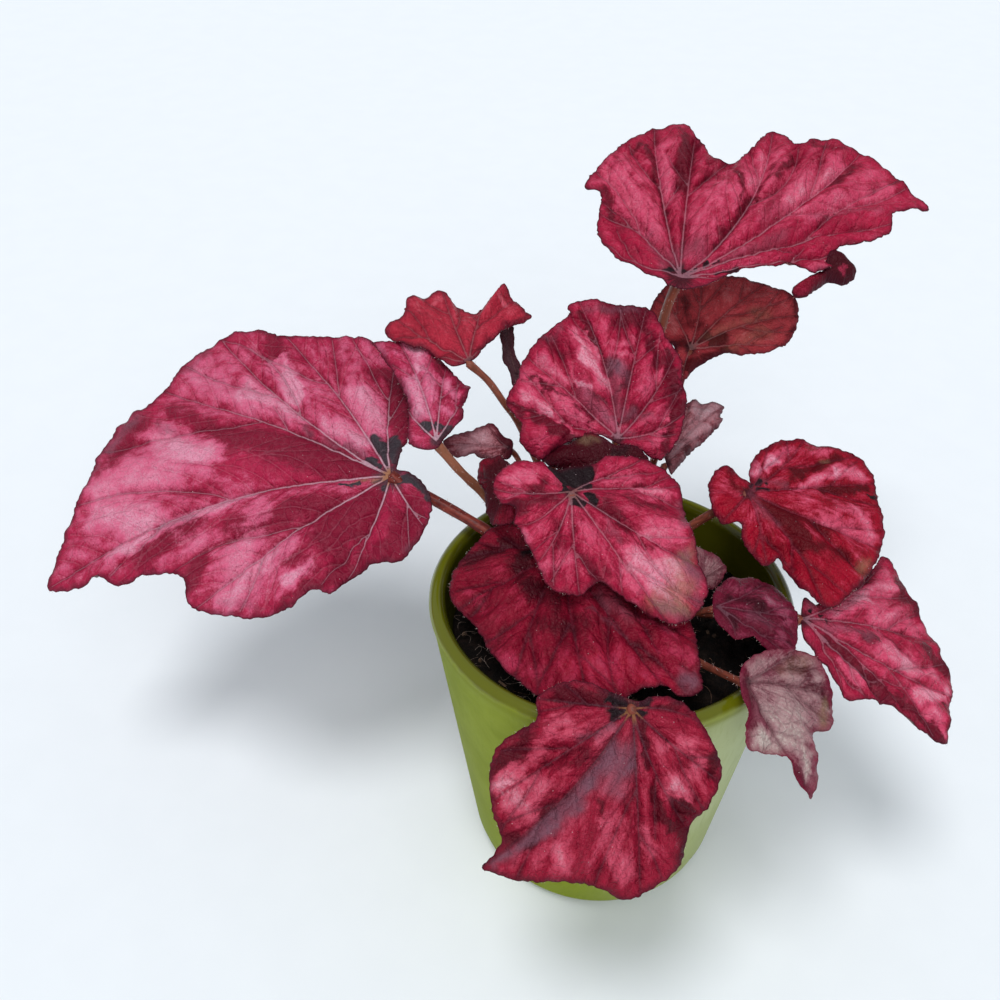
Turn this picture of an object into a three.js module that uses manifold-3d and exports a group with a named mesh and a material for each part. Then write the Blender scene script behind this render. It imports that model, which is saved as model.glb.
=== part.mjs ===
// Potted rex begonia. Millimetres, +Z up, origin at the middle of the pot's underside.
// The leaves look towards -Y (the front) and up. Every leaf blade, leaf stem, the rhizome,
// the soil and the pot is a mesh of its own.
import * as THREE from "three";
import Module from "manifold-3d";

const wasm = await Module();
wasm.setup();

// ---------- driving dimensions ----------
const GAP = 0.3; // between pieces that touch on the real plant
const POT = {
  height: 123.6,
  rimRadius: 65,
  footRadius: 47,
  footRound: 6,
  wall: 6,
  floor: 9,
  segments: 48,
};
const SOIL = { belowRim: 15, bump: 1.1, wallDip: 1.5, rings: 6, segments: 40 };
const CROWN = { x: -4, y: 14, radius: 17.5, depth: 7, height: 4, rings: 6, segments: 24 };
const STEM_FOOT_DEPTH = 3.4; // how far a leaf stem stands in its hole in the rhizome
const STEM_SIDES = 8;
const STEM_STEPS = 8;
const BLADE = {
  thickness: 0.9,
  liftPower: 1.8, // how late the blade bends towards its margin's height
  puff: 2.2, // rise of the blade between two main veins
  puffWidth: 9,
  stepsPerPoint: 2, // spokes of the mesh for each point of the outline
};

const soilTop = POT.height - SOIL.belowRim;
const footHeight = soilTop + CROWN.height - STEM_FOOT_DEPTH;

// ---------- the leaves ----------
// at: where the stem meets the blade. aim: heading, pitch and roll of the main vein, degrees.
// outline: [angle from the main vein, reach from the stem, height off the blade's plane], in
// degrees and mm, once round. veins: direction of each main vein half way and at its end.
// hub: [angle, reach] of the point that the mesh's spokes start from. curl: a lobe that leaves
// the blade's plane, its hub and outline given the same way.
// foot: [ring of the crown, compass angle] of the stem's foot; via: points on its way up.
const OUTER = 13;
const INNER = 6;
const leaves = [
  {
    name: "left_large",
    at: [-81, 40, 144],
    aim: [-168, -14, -18],
    hub: [-18, 42],
    outline: [
      [-1, 127, -12], [-1, 118, -8], [2, 110, -10], [3, 97, -7], [9, 85, -3], [16, 87, -5],
      [22, 81, -7], [32, 69, -9], [39, 60, -5], [42, 51, -5], [50, 49, -5], [55, 40, -8],
      [68, 34, -5], [82, 34, -5], [104, 26, -4], [126, 20, -3], [148, 13, -2], [175, 7, -1],
      [-137, 4, -1], [-123, 12, -2], [-121, 23, -3], [-113, 36, -4], [-105, 54, -4],
      [-95, 69, -3], [-83, 79, -5], [-72, 87, -1], [-68, 100, -4], [-64, 104, -2],
      [-58, 108, -3], [-51, 113, -5], [-41, 110, -2], [-36, 119, -5], [-29, 123, -5],
      [-19, 125, -4], [-10, 133, -10], [-3, 140, -14],
    ],
    veins: [[-99, -95], [-78, -72], [-48, -46], [-13, 0], [7, 23], [57, 54], [105, 112]],
    stem: { foot: [OUTER, 178], via: [[-47, 27, 130], [-66, 36, 136.5]], radius: 2.4 },
  },
  {
    name: "left_upper",
    at: [-63, 32, 166],
    aim: [105, 16, -10],
    hub: [0, 18],
    outline: [
      [13, 40, -3], [15, 24, -3], [29, 16, -3], [61, 11, -4], [90, 6, -3], [165, 3, -1],
      [-63, 4, -2], [-55, 8, -3], [-51, 15, -3], [-41, 20, -3], [-37, 29, -5], [-27, 31, -3],
      [-15, 40, -5], [-10, 45, -3], [-3, 51, -4], [7, 54, -3], [14, 58, -3],
    ],
    veins: [[-36, -39], [-16, -17], [-3, 4], [26, 13]],
    stem: { foot: [INNER, 170], via: [[-36, 32, 127], [-46, 38, 137], [-55, 33, 152]], radius: 2 },
  },
  {
    name: "back_left",
    at: [-52, 64, 180],
    aim: [145, 5, -7],
    hub: [-45, 14],
    outline: [
      [11, 25, -2], [9, 17, -3], [35, 9, -2], [52, 4, -2], [-107, 3, -1], [-84, 11, -2],
      [-87, 19, -2], [-87, 26, -3], [-91, 29, -2], [-95, 36, -2], [-80, 40, -1], [-72, 43.5, 3],
      [-66, 38, 0], [-64, 36, -2], [-58, 29, -2], [-45, 36, -3], [-39, 43, 0], [-30, 43, -2],
      [-21, 45, -1], [-11, 38, -2], [1, 39, -2], [6, 36, -5],
    ],
    veins: [[-83, -92], [-58, -64], [-36, -39], [0, -6], [28, 9]],
    stem: { foot: [OUTER, 115], via: [[-33, 64, 151], [-39, 64, 161], [-45, 65, 170]], radius: 1.6 },
  },
  {
    name: "withered",
    at: [-34, 83, 162],
    aim: [111, 45, -33],
    hub: [4, 7],
    outline: [
      [-8, 21, 0], [8, 18, 0], [13, 13, 0], [31, 8, 0], [63, 3, 0], [146, 5, 0], [-172, 4, 0],
      [-95, 3, 0], [-36, 4, 0], [-12, 7, 0], [-9, 12, 0], [-11, 15, 0],
    ],
    veins: [[6, -5]],
    stem: { foot: [OUTER, 95], via: [[-30, 80, 150]], radius: 1.2 },
  },
  {
    name: "centre_high",
    at: [3, 43, 160],
    aim: [109, 35, -11],
    hub: [0, 18],
    outline: [
      [5, 52, -2], [19, 50, -4], [34, 47, -6], [41, 44, -3], [54, 44, -6], [65, 36, -3],
      [75, 36, -5], [87, 29, -8], [81, 23, -7], [73, 16, -4], [60, 8, -2], [175, 2, -1],
      [-125, 7, -3], [-126, 17, -8], [-101, 23, -7], [-85, 27, -6], [-70, 33, -7],
      [-62, 34, -4], [-52, 42, -6], [-41, 45, -3], [-30, 55, -5], [-18, 54, -3], [-8, 57, -4],
      [2, 58, -5],
    ],
    veins: [[-95, -80], [-58, -48], [-27, -28], [-12, -2], [28, 29], [57, 53], [74, 88]],
    // The dark fold in front of the stem, where the basal lobes meet.
    curl: {
      hub: [144, 8.6, -3.5],
      outline: [
        [100, 23, -9], [113, 20, -7], [126, 16, -5.5], [153, 12, -5], [-174, 12, -5],
        [-147, 15, -7], [-137, 15, -7], [-126, 10, -4.5], [-122, 7, -3.2], [-150, 2.8, -1.3],
        [140, 2.6, -1.2], [56, 9, -2.8], [67, 15, -5], [77, 21, -7.4], [82, 27, -9], [88, 28, -9.5],
      ],
    },
    stem: { foot: [INNER, 95], via: [[2, 45, 143]], radius: 2 },
  },
  {
    name: "centre_front",
    at: [-15, 16, 156],
    aim: [-50, -14, 11],
    hub: [10, 12],
    outline: [
      [165, 11, -1], [178, 17, -2], [-169, 23, -3], [-157, 27, -4], [-139, 28, -4],
      [-123, 25, -4], [-116, 20, -4], [-103, 22, -6], [-74, 25, -5], [-58, 33, -4],
      [-48, 37, -6], [-36, 38, -7], [-29, 36, -5], [-23, 36, -3], [-17, 42, -4],
      [-11, 48, -7], [-7, 57, -5], [2, 60, -9], [14, 58, -8], [21, 51, -6], [33, 44, -3],
      [47, 40, -6], [58, 39, -3], [75, 36, -5], [89, 29, -3], [104, 23, -4], [110, 15, -1],
    ],
    veins: [[-126, -136], [-76, -98], [-49, -63], [-39, -35], [-6, -6], [14, 20], [64, 58], [85, 84]],
    stem: { foot: [INNER, 235], via: [[-12, 15, 136]], radius: 2 },
  },
  {
    name: "low_front",
    at: [-18, 8, 135],
    aim: [-80, -8, 3],
    hub: [0, 18],
    outline: [
      [-142, 22, 0], [-131, 29, -3], [-106, 33, -3], [-92, 39, -5], [-75, 43, -3],
      [-63, 42, -5], [-50, 44, -3], [-43, 47, -4], [-33, 52, -3], [-27, 54, -5],
      [-18, 60, -3], [-9, 62, -4], [0, 65, -3], [11, 61, -5], [20, 64, -3], [23, 69, -5],
      [28, 72, -4], [34, 64, -2], [45, 53, -3], [52, 38, 0], [62, 22, 0], [75, 8, -1],
      [165, 5, -1], [-157, 14, 0],
    ],
    veins: [[-113, -114], [-71, -68], [-32, -28], [-6, -3], [19, 20], [40, 39]],
    stem: { foot: [OUTER, 235], via: [], radius: 1.8 },
  },
  {
    name: "front",
    at: [2, -63, 132],
    aim: [-144, -30, -32],
    hub: [35, 22],
    outline: [
      [-85, 8, -3], [-75, 17, -5], [-64, 24, -3], [-51, 30, -6], [-39, 30, -3], [-33, 38, -6],
      [-29, 44, -4], [-21, 49, -6], [-9, 54, -4], [0, 58, -6], [1, 68, -5], [12, 63, -6],
      [25, 56, -3], [35, 56, -6], [42, 58, -4], [51, 55, -6], [61, 50, -4], [72, 40, -7],
      [82, 38, -4], [99, 35, -8], [109, 29, -4], [128, 21, -5], [148, 14, -3], [168, 7, -2],
      [-174, 3, -1],
    ],
    veins: [[-50, -51], [-12, -12], [13, 1], [48, 47], [59, 70], [91, 96], [143, 124]],
    stem: { foot: [OUTER, 258], via: [[-2, -36, 113], [1, -50, 118.5], [2, -57, 124]], radius: 1.9 },
  },
  {
    name: "right_high",
    at: [48, 19, 155],
    aim: [-61, -19, 2],
    hub: [25, 20],
    outline: [
      [140, 4, -1], [-176, 14, -3], [-145, 14, -5], [-102, 14, -4], [-68, 14, -6],
      [-45, 13, -3], [-34, 19, -6], [-20, 28, -5], [-9, 27, -3], [-6, 34, -5], [-4, 41, -3],
      [4, 49, -6], [16, 49, -5], [33, 50, -6], [50, 51, -5], [63, 49, -3], [80, 52, -5],
      [90, 49, -3], [100, 42, -4], [117, 33, -3], [132, 22, -3], [143, 12, -2],
    ],
    veins: [[-60, -70], [-11, -18], [12, 2], [33, 44], [73, 75], [100, 110], [117, 128]],
    stem: { foot: [OUTER, 25], via: [[30, 24, 134], [38, 23, 142]], radius: 1.9 },
  },
  {
    name: "right_low",
    at: [64, -20, 131],
    aim: [-30, -30, 2],
    hub: [20, 16],
    outline: [
      [-58, 6, -2], [-25, 13, -4], [-26, 23, -3], [-21, 30, -5], [-11, 34, -3], [0, 41, -5],
      [0, 48, -3], [2, 57, -5], [6, 68, -7], [14, 65, -4], [28, 68, -6], [36, 62, -3],
      [44, 61, -5], [56, 58, -3], [67, 59, -4], [75, 58, -3], [72, 41, -2], [72, 24, -1],
      [78, 11, -1], [115, 8, -1],
    ],
    veins: [[-2, -23], [-3, -1], [14, 1], [13, 22], [45, 40], [61, 74]],
    stem: { foot: [INNER, -25], via: [[34, -4, 117], [52, -12, 127.6]], radius: 1.9 },
  },
  {
    name: "right_small",
    at: [33, -21, 137],
    aim: [-41, -9, 3],
    hub: [40, 14],
    outline: [
      [-67, 3, -1], [-37, 8, -2], [-19, 13, -3], [-2, 17, -1], [-4, 23, -2], [2, 29, -3],
      [23, 29, -4], [44, 28, -2], [60, 27, -3], [74, 23, -2], [92, 20, -2], [111, 13, -2],
      [130, 6, -1],
    ],
    veins: [[0, -19], [7, 5], [34, 38], [63, 76]],
    stem: { foot: [OUTER, -50], via: [[20, -9, 121]], radius: 1.5 },
  },
  {
    name: "silver",
    at: [39, -52, 133],
    aim: [-54, -36, 3],
    hub: [40, 13],
    outline: [
      [-52, 4, -1], [-24, 10, -2], [-28, 20, -4], [-11, 23, -3], [2, 27, -2], [0, 33, -2],
      [3, 42, -4], [12, 39, -5], [19, 33, -2], [30, 29, -4], [37, 33, -2], [48, 34, -4],
      [64, 32, -2], [78, 30, -3], [92, 24, -2], [115, 13, -2], [160, 5, -1],
    ],
    veins: [[-8, -27], [0, 4], [66, 54], [87, 91]],
    stem: { foot: [OUTER, 285], via: [[28, -30, 119]], radius: 1.5 },
  },
  {
    name: "top_right",
    at: [26, 85, 205],
    aim: [21, 4, 19],
    hub: [48, 32],
    outline: [
      [-156, 6, -2], [-88, 5, -3], [-34, 10, -3], [-9, 22, -2], [-6, 35, -3], [-6, 44, -4],
      [-8, 49, -5], [-10, 55, -6], [-8, 63, -7], [-2, 67, -5], [-3, 78, -3], [-1, 91, -4],
      [4, 98, -3], [3, 115, -6], [10, 111, -3], [15, 112, -4], [25, 109, -3], [31, 104, -3],
      [34, 94, -2], [39, 97, -3], [42, 94, -3], [44, 76, -1], [47, 68, -2], [56, 71, -1],
      [62, 85, -3], [67, 84, -2], [78, 79, -4], [89, 69, -3], [102, 61, -6], [101, 52, -4],
      [110, 44, -3], [122, 37, -4], [133, 28, -3], [151, 13, -2], [177, 7, -1],
    ],
    veins: [
      [-8, -15], [-3, -3], [10, 1], [13, 22], [22, 41], [62, 60], [76, 72], [95, 104], [141, 127],
    ],
    // A lobe of the lower margin that curls down and under, with a narrow tail.
    curl: {
      hub: [-9.5, 60.8, -11],
      outline: [
        [-3, 63, -4], [-6, 60.5, -7], [-8, 58.5, -10], [-7.5, 54, -12.5], [-9.5, 49, -14],
        [-12.5, 46.5, -14.5], [-15.5, 48, -14.5], [-16, 51.5, -14], [-12.5, 57, -13],
        [-10.5, 62, -13], [-12, 67, -13], [-11, 71, -12], [-9.5, 73, -10], [-7.5, 72, -8],
        [-5, 69, -6], [-3, 66, -4],
      ],
    },
    stem: {
      foot: [OUTER, 72],
      via: [[9, 50, 128], [16, 75, 149], [20, 87, 171], [23, 88, 190]],
      radius: 2.2,
    },
  },
  {
    name: "top_shaded",
    at: [37, 107, 160],
    aim: [18, 6, 26],
    hub: [40, 16],
    outline: [
      [-147, 10, -2], [-122, 15, -5], [-96, 8, -4], [-41, 9, -3], [-18, 16, -3], [-20, 23, -3],
      [-15, 33, -4], [-8, 43, -6], [2, 51, -7], [10, 55, -5], [17, 53, -2], [27, 49, -3],
      [42, 44, -3], [61, 39, -2], [83, 34, -3], [109, 25, -2], [127, 17, -2], [151, 7, -1],
    ],
    veins: [[-133, -122], [-5, -11], [15, 6], [32, 27], [52, 61], [86, 91]],
    stem: { foot: [OUTER, 50], via: [[19, 64, 128], [32, 96, 146]], radius: 1.8 },
  },
  {
    name: "behind_right",
    at: [24, 56, 140],
    aim: [56, -3, 15],
    hub: [0, 18],
    outline: [
      [-129, 6, -1], [-43, 6, -2], [-12, 16, -3], [-8, 27, -3], [-5, 38, -4], [-4, 45, -2],
      [-1, 48, -3], [1, 54, -2], [9, 51, -3], [17, 43, -2], [26, 22, -2], [40, 9, -1],
    ],
    veins: [[0, -5], [9, 1], [15, 15]],
    stem: { foot: [INNER, 40], via: [[14, 40, 127]], radius: 1.5 },
  },
  {
    name: "inner_left",
    at: [-34, 29, 148],
    aim: [149, -5, -27],
    hub: [10, 6],
    outline: [
      [-46, 12, -1], [-25, 21, -3], [-10, 20, -4], [2, 18, -4], [21, 13, -2], [50, 14, -4],
      [78, 16, -4], [107, 14, -2], [129, 8, -1],
    ],
    veins: [[1, -2], [64, 75]],
    stem: { foot: [OUTER, 200], via: [], radius: 1.4 },
  },
  {
    name: "curled_left",
    at: [-37, 57, 145],
    aim: [-167, 11, -53],
    hub: [0, 9],
    outline: [
      [-123, 3, 0], [-64, 5, -1], [-56, 11, -2], [-22, 16, -1], [-9, 23, -2], [-1, 25, -2],
      [12, 21, -2], [12, 14, -1], [24, 11, -1], [48, 6, 0], [101, 4, 0],
    ],
    veins: [[-27, -50], [-3, -1]],
    stem: { foot: [OUTER, 135], via: [[-28, 50, 130], [-34, 60, 139]], radius: 1.3 },
  },
  {
    name: "young",
    at: [33, 5, 126],
    aim: [-34, -23, 21],
    hub: [110, 6],
    outline: [
      [-99, 1, 0], [-24, 4, -1], [12, 6, -2], [60, 10, -2], [81, 11, -2], [115, 11, -1],
      [140, 13, -2], [145, 6, -1],
    ],
    veins: [[59, 71], [135, 114]],
    stem: { foot: [OUTER, 0], via: [], radius: 1.1 },
  },
];

// ---------- shared shapes ----------
const radians = THREE.MathUtils.degToRad;
const polar = ([angle, reach, lift = 0]) =>
  new THREE.Vector3(reach * Math.cos(radians(angle)), reach * Math.sin(radians(angle)), lift);

function geometry(points, triangles) {
  const made = new THREE.BufferGeometry();
  made.setAttribute("position", new THREE.Float32BufferAttribute(points.flatMap((p) => p.toArray()), 3));
  return made.setIndex(triangles.flat());
}

function mesh(name, made) {
  const part = new THREE.Mesh(made, new THREE.MeshStandardMaterial());
  part.name = name;
  return part;
}

// A closed solid through rings of points that all turn the same way, capped at both ends.
function stacked(rings) {
  const n = rings[0].length;
  const middle = (ring) =>
    ring.reduce((sum, p) => sum.add(p), new THREE.Vector3()).divideScalar(n);
  const points = rings.flat().concat(middle(rings[0]), middle(rings.at(-1)));
  const first = rings.length * n;
  const triangles = [];
  for (let i = 0; i < n; i++) {
    const j = (i + 1) % n;
    for (let k = 0; k + 1 < rings.length; k++) {
      const [a, b, c, d] = [k * n + i, k * n + j, (k + 1) * n + j, (k + 1) * n + i];
      triangles.push([a, b, c], [a, c, d]);
    }
    triangles.push([first, j, i], [first + 1, first - n + i, first - n + j]);
  }
  return geometry(points, triangles);
}

const circle = (radius, z, segments, cx = 0, cy = 0) =>
  Array.from({ length: segments }, (_, i) => {
    const a = (2 * Math.PI * i) / segments;
    return new THREE.Vector3(cx + radius * Math.cos(a), cy + radius * Math.sin(a), z);
  });

// A tube along a curve, its radius given by a function of 0..1 along it.
function tube(curve, radiusAt, from = 0) {
  const frames = curve.computeFrenetFrames(STEM_STEPS, false);
  const rings = Array.from({ length: STEM_STEPS + 1 }, (_, k) => {
    const centre = curve.getPointAt(k / STEM_STEPS);
    if (k === 0) centre.addScaledVector(frames.tangents[0], -from);
    return Array.from({ length: STEM_SIDES }, (_, i) => {
      const a = (2 * Math.PI * i) / STEM_SIDES;
      return centre
        .clone()
        .addScaledVector(frames.normals[k], radiusAt(k / STEM_STEPS) * Math.cos(a))
        .addScaledVector(frames.binormals[k], radiusAt(k / STEM_STEPS) * Math.sin(a));
    });
  });
  return stacked(rings);
}

const solid = (made) =>
  new wasm.Manifold(
    new wasm.Mesh({
      numProp: 3,
      vertProperties: new Float32Array(made.attributes.position.array),
      triVerts: new Uint32Array(made.index.array),
    }),
  );

function fromSolid(body) {
  const m = body.getMesh();
  const points = [];
  for (let i = 0; i < m.numVert; i++)
    points.push(new THREE.Vector3().fromArray(m.vertProperties, i * m.numProp));
  const triangles = [];
  for (let i = 0; i < m.triVerts.length; i += 3) triangles.push([...m.triVerts.slice(i, i + 3)]);
  return geometry(points, triangles);
}

// ---------- leaf blades ----------
function frameOf({ at, aim }) {
  const [heading, pitch, roll] = aim.map(radians);
  const x = new THREE.Vector3(
    Math.cos(pitch) * Math.cos(heading),
    Math.cos(pitch) * Math.sin(heading),
    Math.sin(pitch),
  );
  const y = new THREE.Vector3(-Math.sin(heading), Math.cos(heading), 0);
  y.applyAxisAngle(x, roll);
  const z = new THREE.Vector3().crossVectors(x, y);
  return new THREE.Matrix4().makeBasis(x, y, z).setPosition(...at);
}

const marginOf = (outline) => {
  const curve = new THREE.CatmullRomCurve3(outline.map(polar), true, "catmullrom", 0.5);
  return curve.getPoints(outline.length * BLADE.stepsPerPoint).slice(0, -1);
};

// How far the blade reaches from the stem in one direction, out to its margin.
function reachAt(margin, angle) {
  const [c, s] = [Math.cos(radians(angle)), Math.sin(radians(angle))];
  let reach = 0;
  margin.forEach((p, i) => {
    const q = margin[(i + 1) % margin.length];
    const [sideP, sideQ] = [p.y * c - p.x * s, q.y * c - q.x * s];
    if (sideP * sideQ > 0 || sideP === sideQ) return;
    const f = sideP / (sideP - sideQ);
    reach = Math.max(reach, (p.x + (q.x - p.x) * f) * c + (p.y + (q.y - p.y) * f) * s);
  });
  return reach;
}

const VEIN_STEPS = 8;
function veinLines(leaf, margin) {
  return leaf.veins.map(([halfway, end]) => {
    const reach = reachAt(margin, end);
    return new THREE.QuadraticBezierCurve3(
      new THREE.Vector3(),
      polar([halfway, reach / 2]),
      polar([end, reach]),
    ).getPoints(VEIN_STEPS);
  });
}

function distanceToVeins(lines, x, y) {
  let nearest = Infinity;
  for (const line of lines)
    for (let i = 0; i < VEIN_STEPS; i++) {
      const [a, b] = [line[i], line[i + 1]];
      const [dx, dy] = [b.x - a.x, b.y - a.y];
      const f = ((x - a.x) * dx + (y - a.y) * dy) / (dx * dx + dy * dy || 1);
      const g = Math.min(1, Math.max(0, f));
      nearest = Math.min(nearest, Math.hypot(x - a.x - g * dx, y - a.y - g * dy));
    }
  return nearest;
}

// The middle surface of a blade, as rings of points from the hub to the margin.
function bladeRings(leaf) {
  const margin = marginOf(leaf.outline);
  const lines = veinLines(leaf, margin);
  const hub = polar(leaf.hub);
  const rings = leaf.outline.length > 14 ? 4 : 3;
  const puff = BLADE.puff * Math.min(1, leaf.outline.length / 24);
  const grid = [];
  for (let k = 1; k <= rings; k++) {
    const t = k / rings;
    grid.push(
      margin.map((m) => {
        const p = new THREE.Vector3().lerpVectors(hub, m, t);
        p.z = m.z * t ** BLADE.liftPower;
        const d = distanceToVeins(lines, p.x, p.y) / BLADE.puffWidth;
        const nearStem = Math.min(1, Math.hypot(p.x, p.y) / 15);
        p.z += puff * nearStem * (1 - Math.exp(-d * d)) * (1 - t ** 4);
        return p;
      }),
    );
  }
  const middle = hub.clone();
  middle.z = 0.3 * puff;
  return { middle, grid };
}

// A thin sheet, triangulated alike on both faces, with a closed edge. Its rings go outwards.
function sheet({ middle, grid }) {
  const n = grid[0].length;
  const flat = [middle, ...grid.flat()];
  const half = BLADE.thickness / 2;
  const points = [half, -half].flatMap((dz) =>
    flat.map((p) => new THREE.Vector3(p.x, p.y, p.z + dz)),
  );
  const under = flat.length;
  const triangles = [];
  const both = (a, b, c) => triangles.push([a, b, c], [under + a, under + c, under + b]);
  for (let i = 0; i < n; i++) {
    const j = (i + 1) % n;
    both(0, 1 + i, 1 + j);
    for (let k = 0; k + 1 < grid.length; k++) {
      const [a, b, c, d] = [1 + k * n + i, 1 + (k + 1) * n + i, 1 + (k + 1) * n + j, 1 + k * n + j];
      both(a, b, c);
      both(a, c, d);
    }
    const [e, f] = [under - n + i, under - n + j];
    triangles.push([e, under + e, under + f], [e, under + f, f]);
  }
  return geometry(points, triangles);
}

// Height of the blade's middle surface over a point of its plane.
function heightOn({ middle, grid }, x, y) {
  const n = grid[0].length;
  const rings = [Array(n).fill(middle), ...grid];
  const tri = new THREE.Triangle();
  const spot = new THREE.Vector3();
  for (let k = 0; k + 1 < rings.length; k++)
    for (let i = 0; i < n; i++) {
      const j = (i + 1) % n;
      const corners = [rings[k][i], rings[k + 1][i], rings[k + 1][j], rings[k][j]];
      for (const [a, b, c] of [[0, 1, 2], [0, 2, 3]]) {
        const [p, q, r] = [corners[a], corners[b], corners[c]];
        tri.set(
          new THREE.Vector3(p.x, p.y, 0),
          new THREE.Vector3(q.x, q.y, 0),
          new THREE.Vector3(r.x, r.y, 0),
        );
        if (!tri.getBarycoord(new THREE.Vector3(x, y, 0), spot)) continue;
        if (Math.min(spot.x, spot.y, spot.z) > -1e-6)
          return p.z * spot.x + q.z * spot.y + r.z * spot.z;
      }
    }
  return Infinity;
}

function blade(leaf, surface) {
  let made = sheet(surface);
  if (leaf.curl) {
    const { hub, outline } = leaf.curl;
    const margin = marginOf(outline);
    const middle = polar(hub);
    const grid = [0.5, 1].map((t) =>
      margin.map((m) => new THREE.Vector3().lerpVectors(middle, m, t)),
    );
    made = fromSolid(solid(made).add(solid(sheet({ middle, grid }))));
  }
  return made.applyMatrix4(frameOf(leaf));
}

// ---------- leaf stems ----------
function stemCurve(leaf, surface) {
  const frame = frameOf(leaf);
  const normal = new THREE.Vector3().setFromMatrixColumn(frame, 2);
  const back = frame.clone().invert();
  const [ring, compass] = leaf.stem.foot;
  const foot = new THREE.Vector3(
    CROWN.x + ring * Math.cos(radians(compass)),
    CROWN.y + ring * Math.sin(radians(compass)),
    footHeight,
  );
  const collar = foot.clone().setZ(footHeight + 4); // stands upright where it leaves the crown
  const route = leaf.stem.via.map((p) => new THREE.Vector3(...p));
  const top = new THREE.Vector3(...leaf.at);
  const radius = leaf.stem.radius * STEM_TOP;
  // Lower the top end until its whole cap is a gap below the blade.
  for (let pass = 0; pass < 4; pass++) {
    const curve = new THREE.CatmullRomCurve3([foot, collar, ...route, top], false, "centripetal");
    const along = curve.getTangentAt(1);
    const side = new THREE.Vector3().crossVectors(along, normal).normalize();
    const over = new THREE.Vector3().crossVectors(side, along);
    let drop = -Infinity;
    for (let i = 0; i <= STEM_SIDES; i++) {
      const a = (2 * Math.PI * i) / STEM_SIDES;
      const p = top.clone();
      if (i < STEM_SIDES)
        p.addScaledVector(side, radius * Math.cos(a)).addScaledVector(over, radius * Math.sin(a));
      p.applyMatrix4(back);
      const floor = heightOn(surface, p.x, p.y) - BLADE.thickness / 2 - GAP;
      if (Number.isFinite(floor)) drop = Math.max(drop, p.z - floor + 0.05);
    }
    top.addScaledVector(normal, -drop);
  }
  return new THREE.CatmullRomCurve3([foot, collar, ...route, top], false, "centripetal");
}

const STEM_TOP = 0.8; // the stem's radius at the blade, over that at its foot
const stemRadius = (leaf, extra = 0) => (t) =>
  leaf.stem.radius * (1 - (1 - STEM_TOP) * t) + extra;

// ---------- pot, soil and rhizome ----------
const outerRadius = (z) =>
  POT.footRadius + ((POT.rimRadius - POT.footRadius) * z) / POT.height;

function pot() {
  const { height, wall, floor, footRadius, footRound, segments } = POT;
  const arc = (cx, cz, radius, start, end, steps) =>
    Array.from({ length: steps + 1 }, (_, i) => {
      const a = radians(start + ((end - start) * i) / steps);
      return [cx + radius * Math.cos(a), cz + radius * Math.sin(a)];
    });
  const lip = wall / 2;
  const profile = [
    ...arc(footRadius - footRound, footRound, footRound, -90, 0, 4),
    ...arc(POT.rimRadius - lip, height - lip, lip, 0, 180, 6),
    [outerRadius(floor + 12) - wall, floor + 12],
    ...arc(outerRadius(floor) - wall - 8, floor + 8, 8, 0, -90, 2),
  ];
  return stacked(profile.map(([r, z]) => circle(r, z, segments)));
}

const bump = (x, y) =>
  Math.sin(0.31 * x + 0.7) * Math.sin(0.27 * y + 1.9) + 0.6 * Math.sin(0.11 * x - 0.17 * y);

function soil() {
  const { rings, segments, wallDip } = SOIL;
  const innerAt = (z) => outerRadius(z) - POT.wall - GAP - 0.15;
  const bottom = POT.floor + 22;
  const edge = soilTop - wallDip;
  const stack = [
    circle(innerAt(bottom) * 0.6, POT.floor + GAP, segments),
    circle(innerAt(POT.floor + 12) - 12, POT.floor + GAP, segments),
    circle(innerAt(bottom) - 2, bottom, segments),
    circle(innerAt(edge), edge, segments),
  ];
  for (let k = rings; k >= 1; k--) {
    const t = (k - 0.4) / rings;
    const ring = circle(innerAt(soilTop) * t, 0, segments);
    ring.forEach((p) => {
      p.z = soilTop - wallDip * t ** 6 + SOIL.bump * bump(p.x, p.y);
    });
    stack.push(ring);
  }
  return stacked(stack);
}

function crown(extra = 0) {
  const { x, y, radius, depth, height, rings, segments } = CROWN;
  const stack = [];
  for (let k = 0; k <= rings; k++) {
    const a = radians(-86 + (172 * k) / rings);
    const ring = circle(1, 0, segments);
    ring.forEach((p, i) => {
      const knob = 1 + 0.05 * Math.sin((2 * Math.PI * 5 * i) / segments + 1) * Math.cos(a);
      const flat = Math.min(1, 1.25 * Math.cos(a)); // a broad, nearly level top
      p.set(
        x + (radius * knob + extra) * flat * p.x,
        y + (radius * 0.95 * knob + extra) * flat * p.y,
        soilTop + (Math.sin(a) > 0 ? height + extra : depth + extra) * Math.sin(a),
      );
    });
    stack.push(ring);
  }
  return stacked(stack);
}

// ---------- assembly ----------
const plant = new THREE.Group();
plant.name = "potted_begonia";

const stems = [];
for (const leaf of leaves) {
  const surface = bladeRings(leaf);
  plant.add(mesh("leaf_" + leaf.name, blade(leaf, surface)));
  stems.push({ leaf, curve: stemCurve(leaf, surface) });
}

let rhizome = solid(crown());
for (const { leaf, curve } of stems) {
  plant.add(mesh("stem_" + leaf.name, tube(curve, stemRadius(leaf))));
  rhizome = rhizome.subtract(solid(tube(curve, stemRadius(leaf, GAP + 0.05), GAP + 0.05)));
}
plant.add(mesh("rhizome", fromSolid(rhizome)));
plant.add(mesh("soil", fromSolid(solid(soil()).subtract(solid(crown(GAP + 0.05))))));
plant.add(mesh("pot", pot()));

export default plant;
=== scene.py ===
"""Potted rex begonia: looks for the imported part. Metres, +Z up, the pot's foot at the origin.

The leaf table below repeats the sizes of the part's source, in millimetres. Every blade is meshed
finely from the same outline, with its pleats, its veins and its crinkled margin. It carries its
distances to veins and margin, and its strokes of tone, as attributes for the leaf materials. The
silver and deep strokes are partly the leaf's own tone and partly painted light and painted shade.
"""

import math

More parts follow.
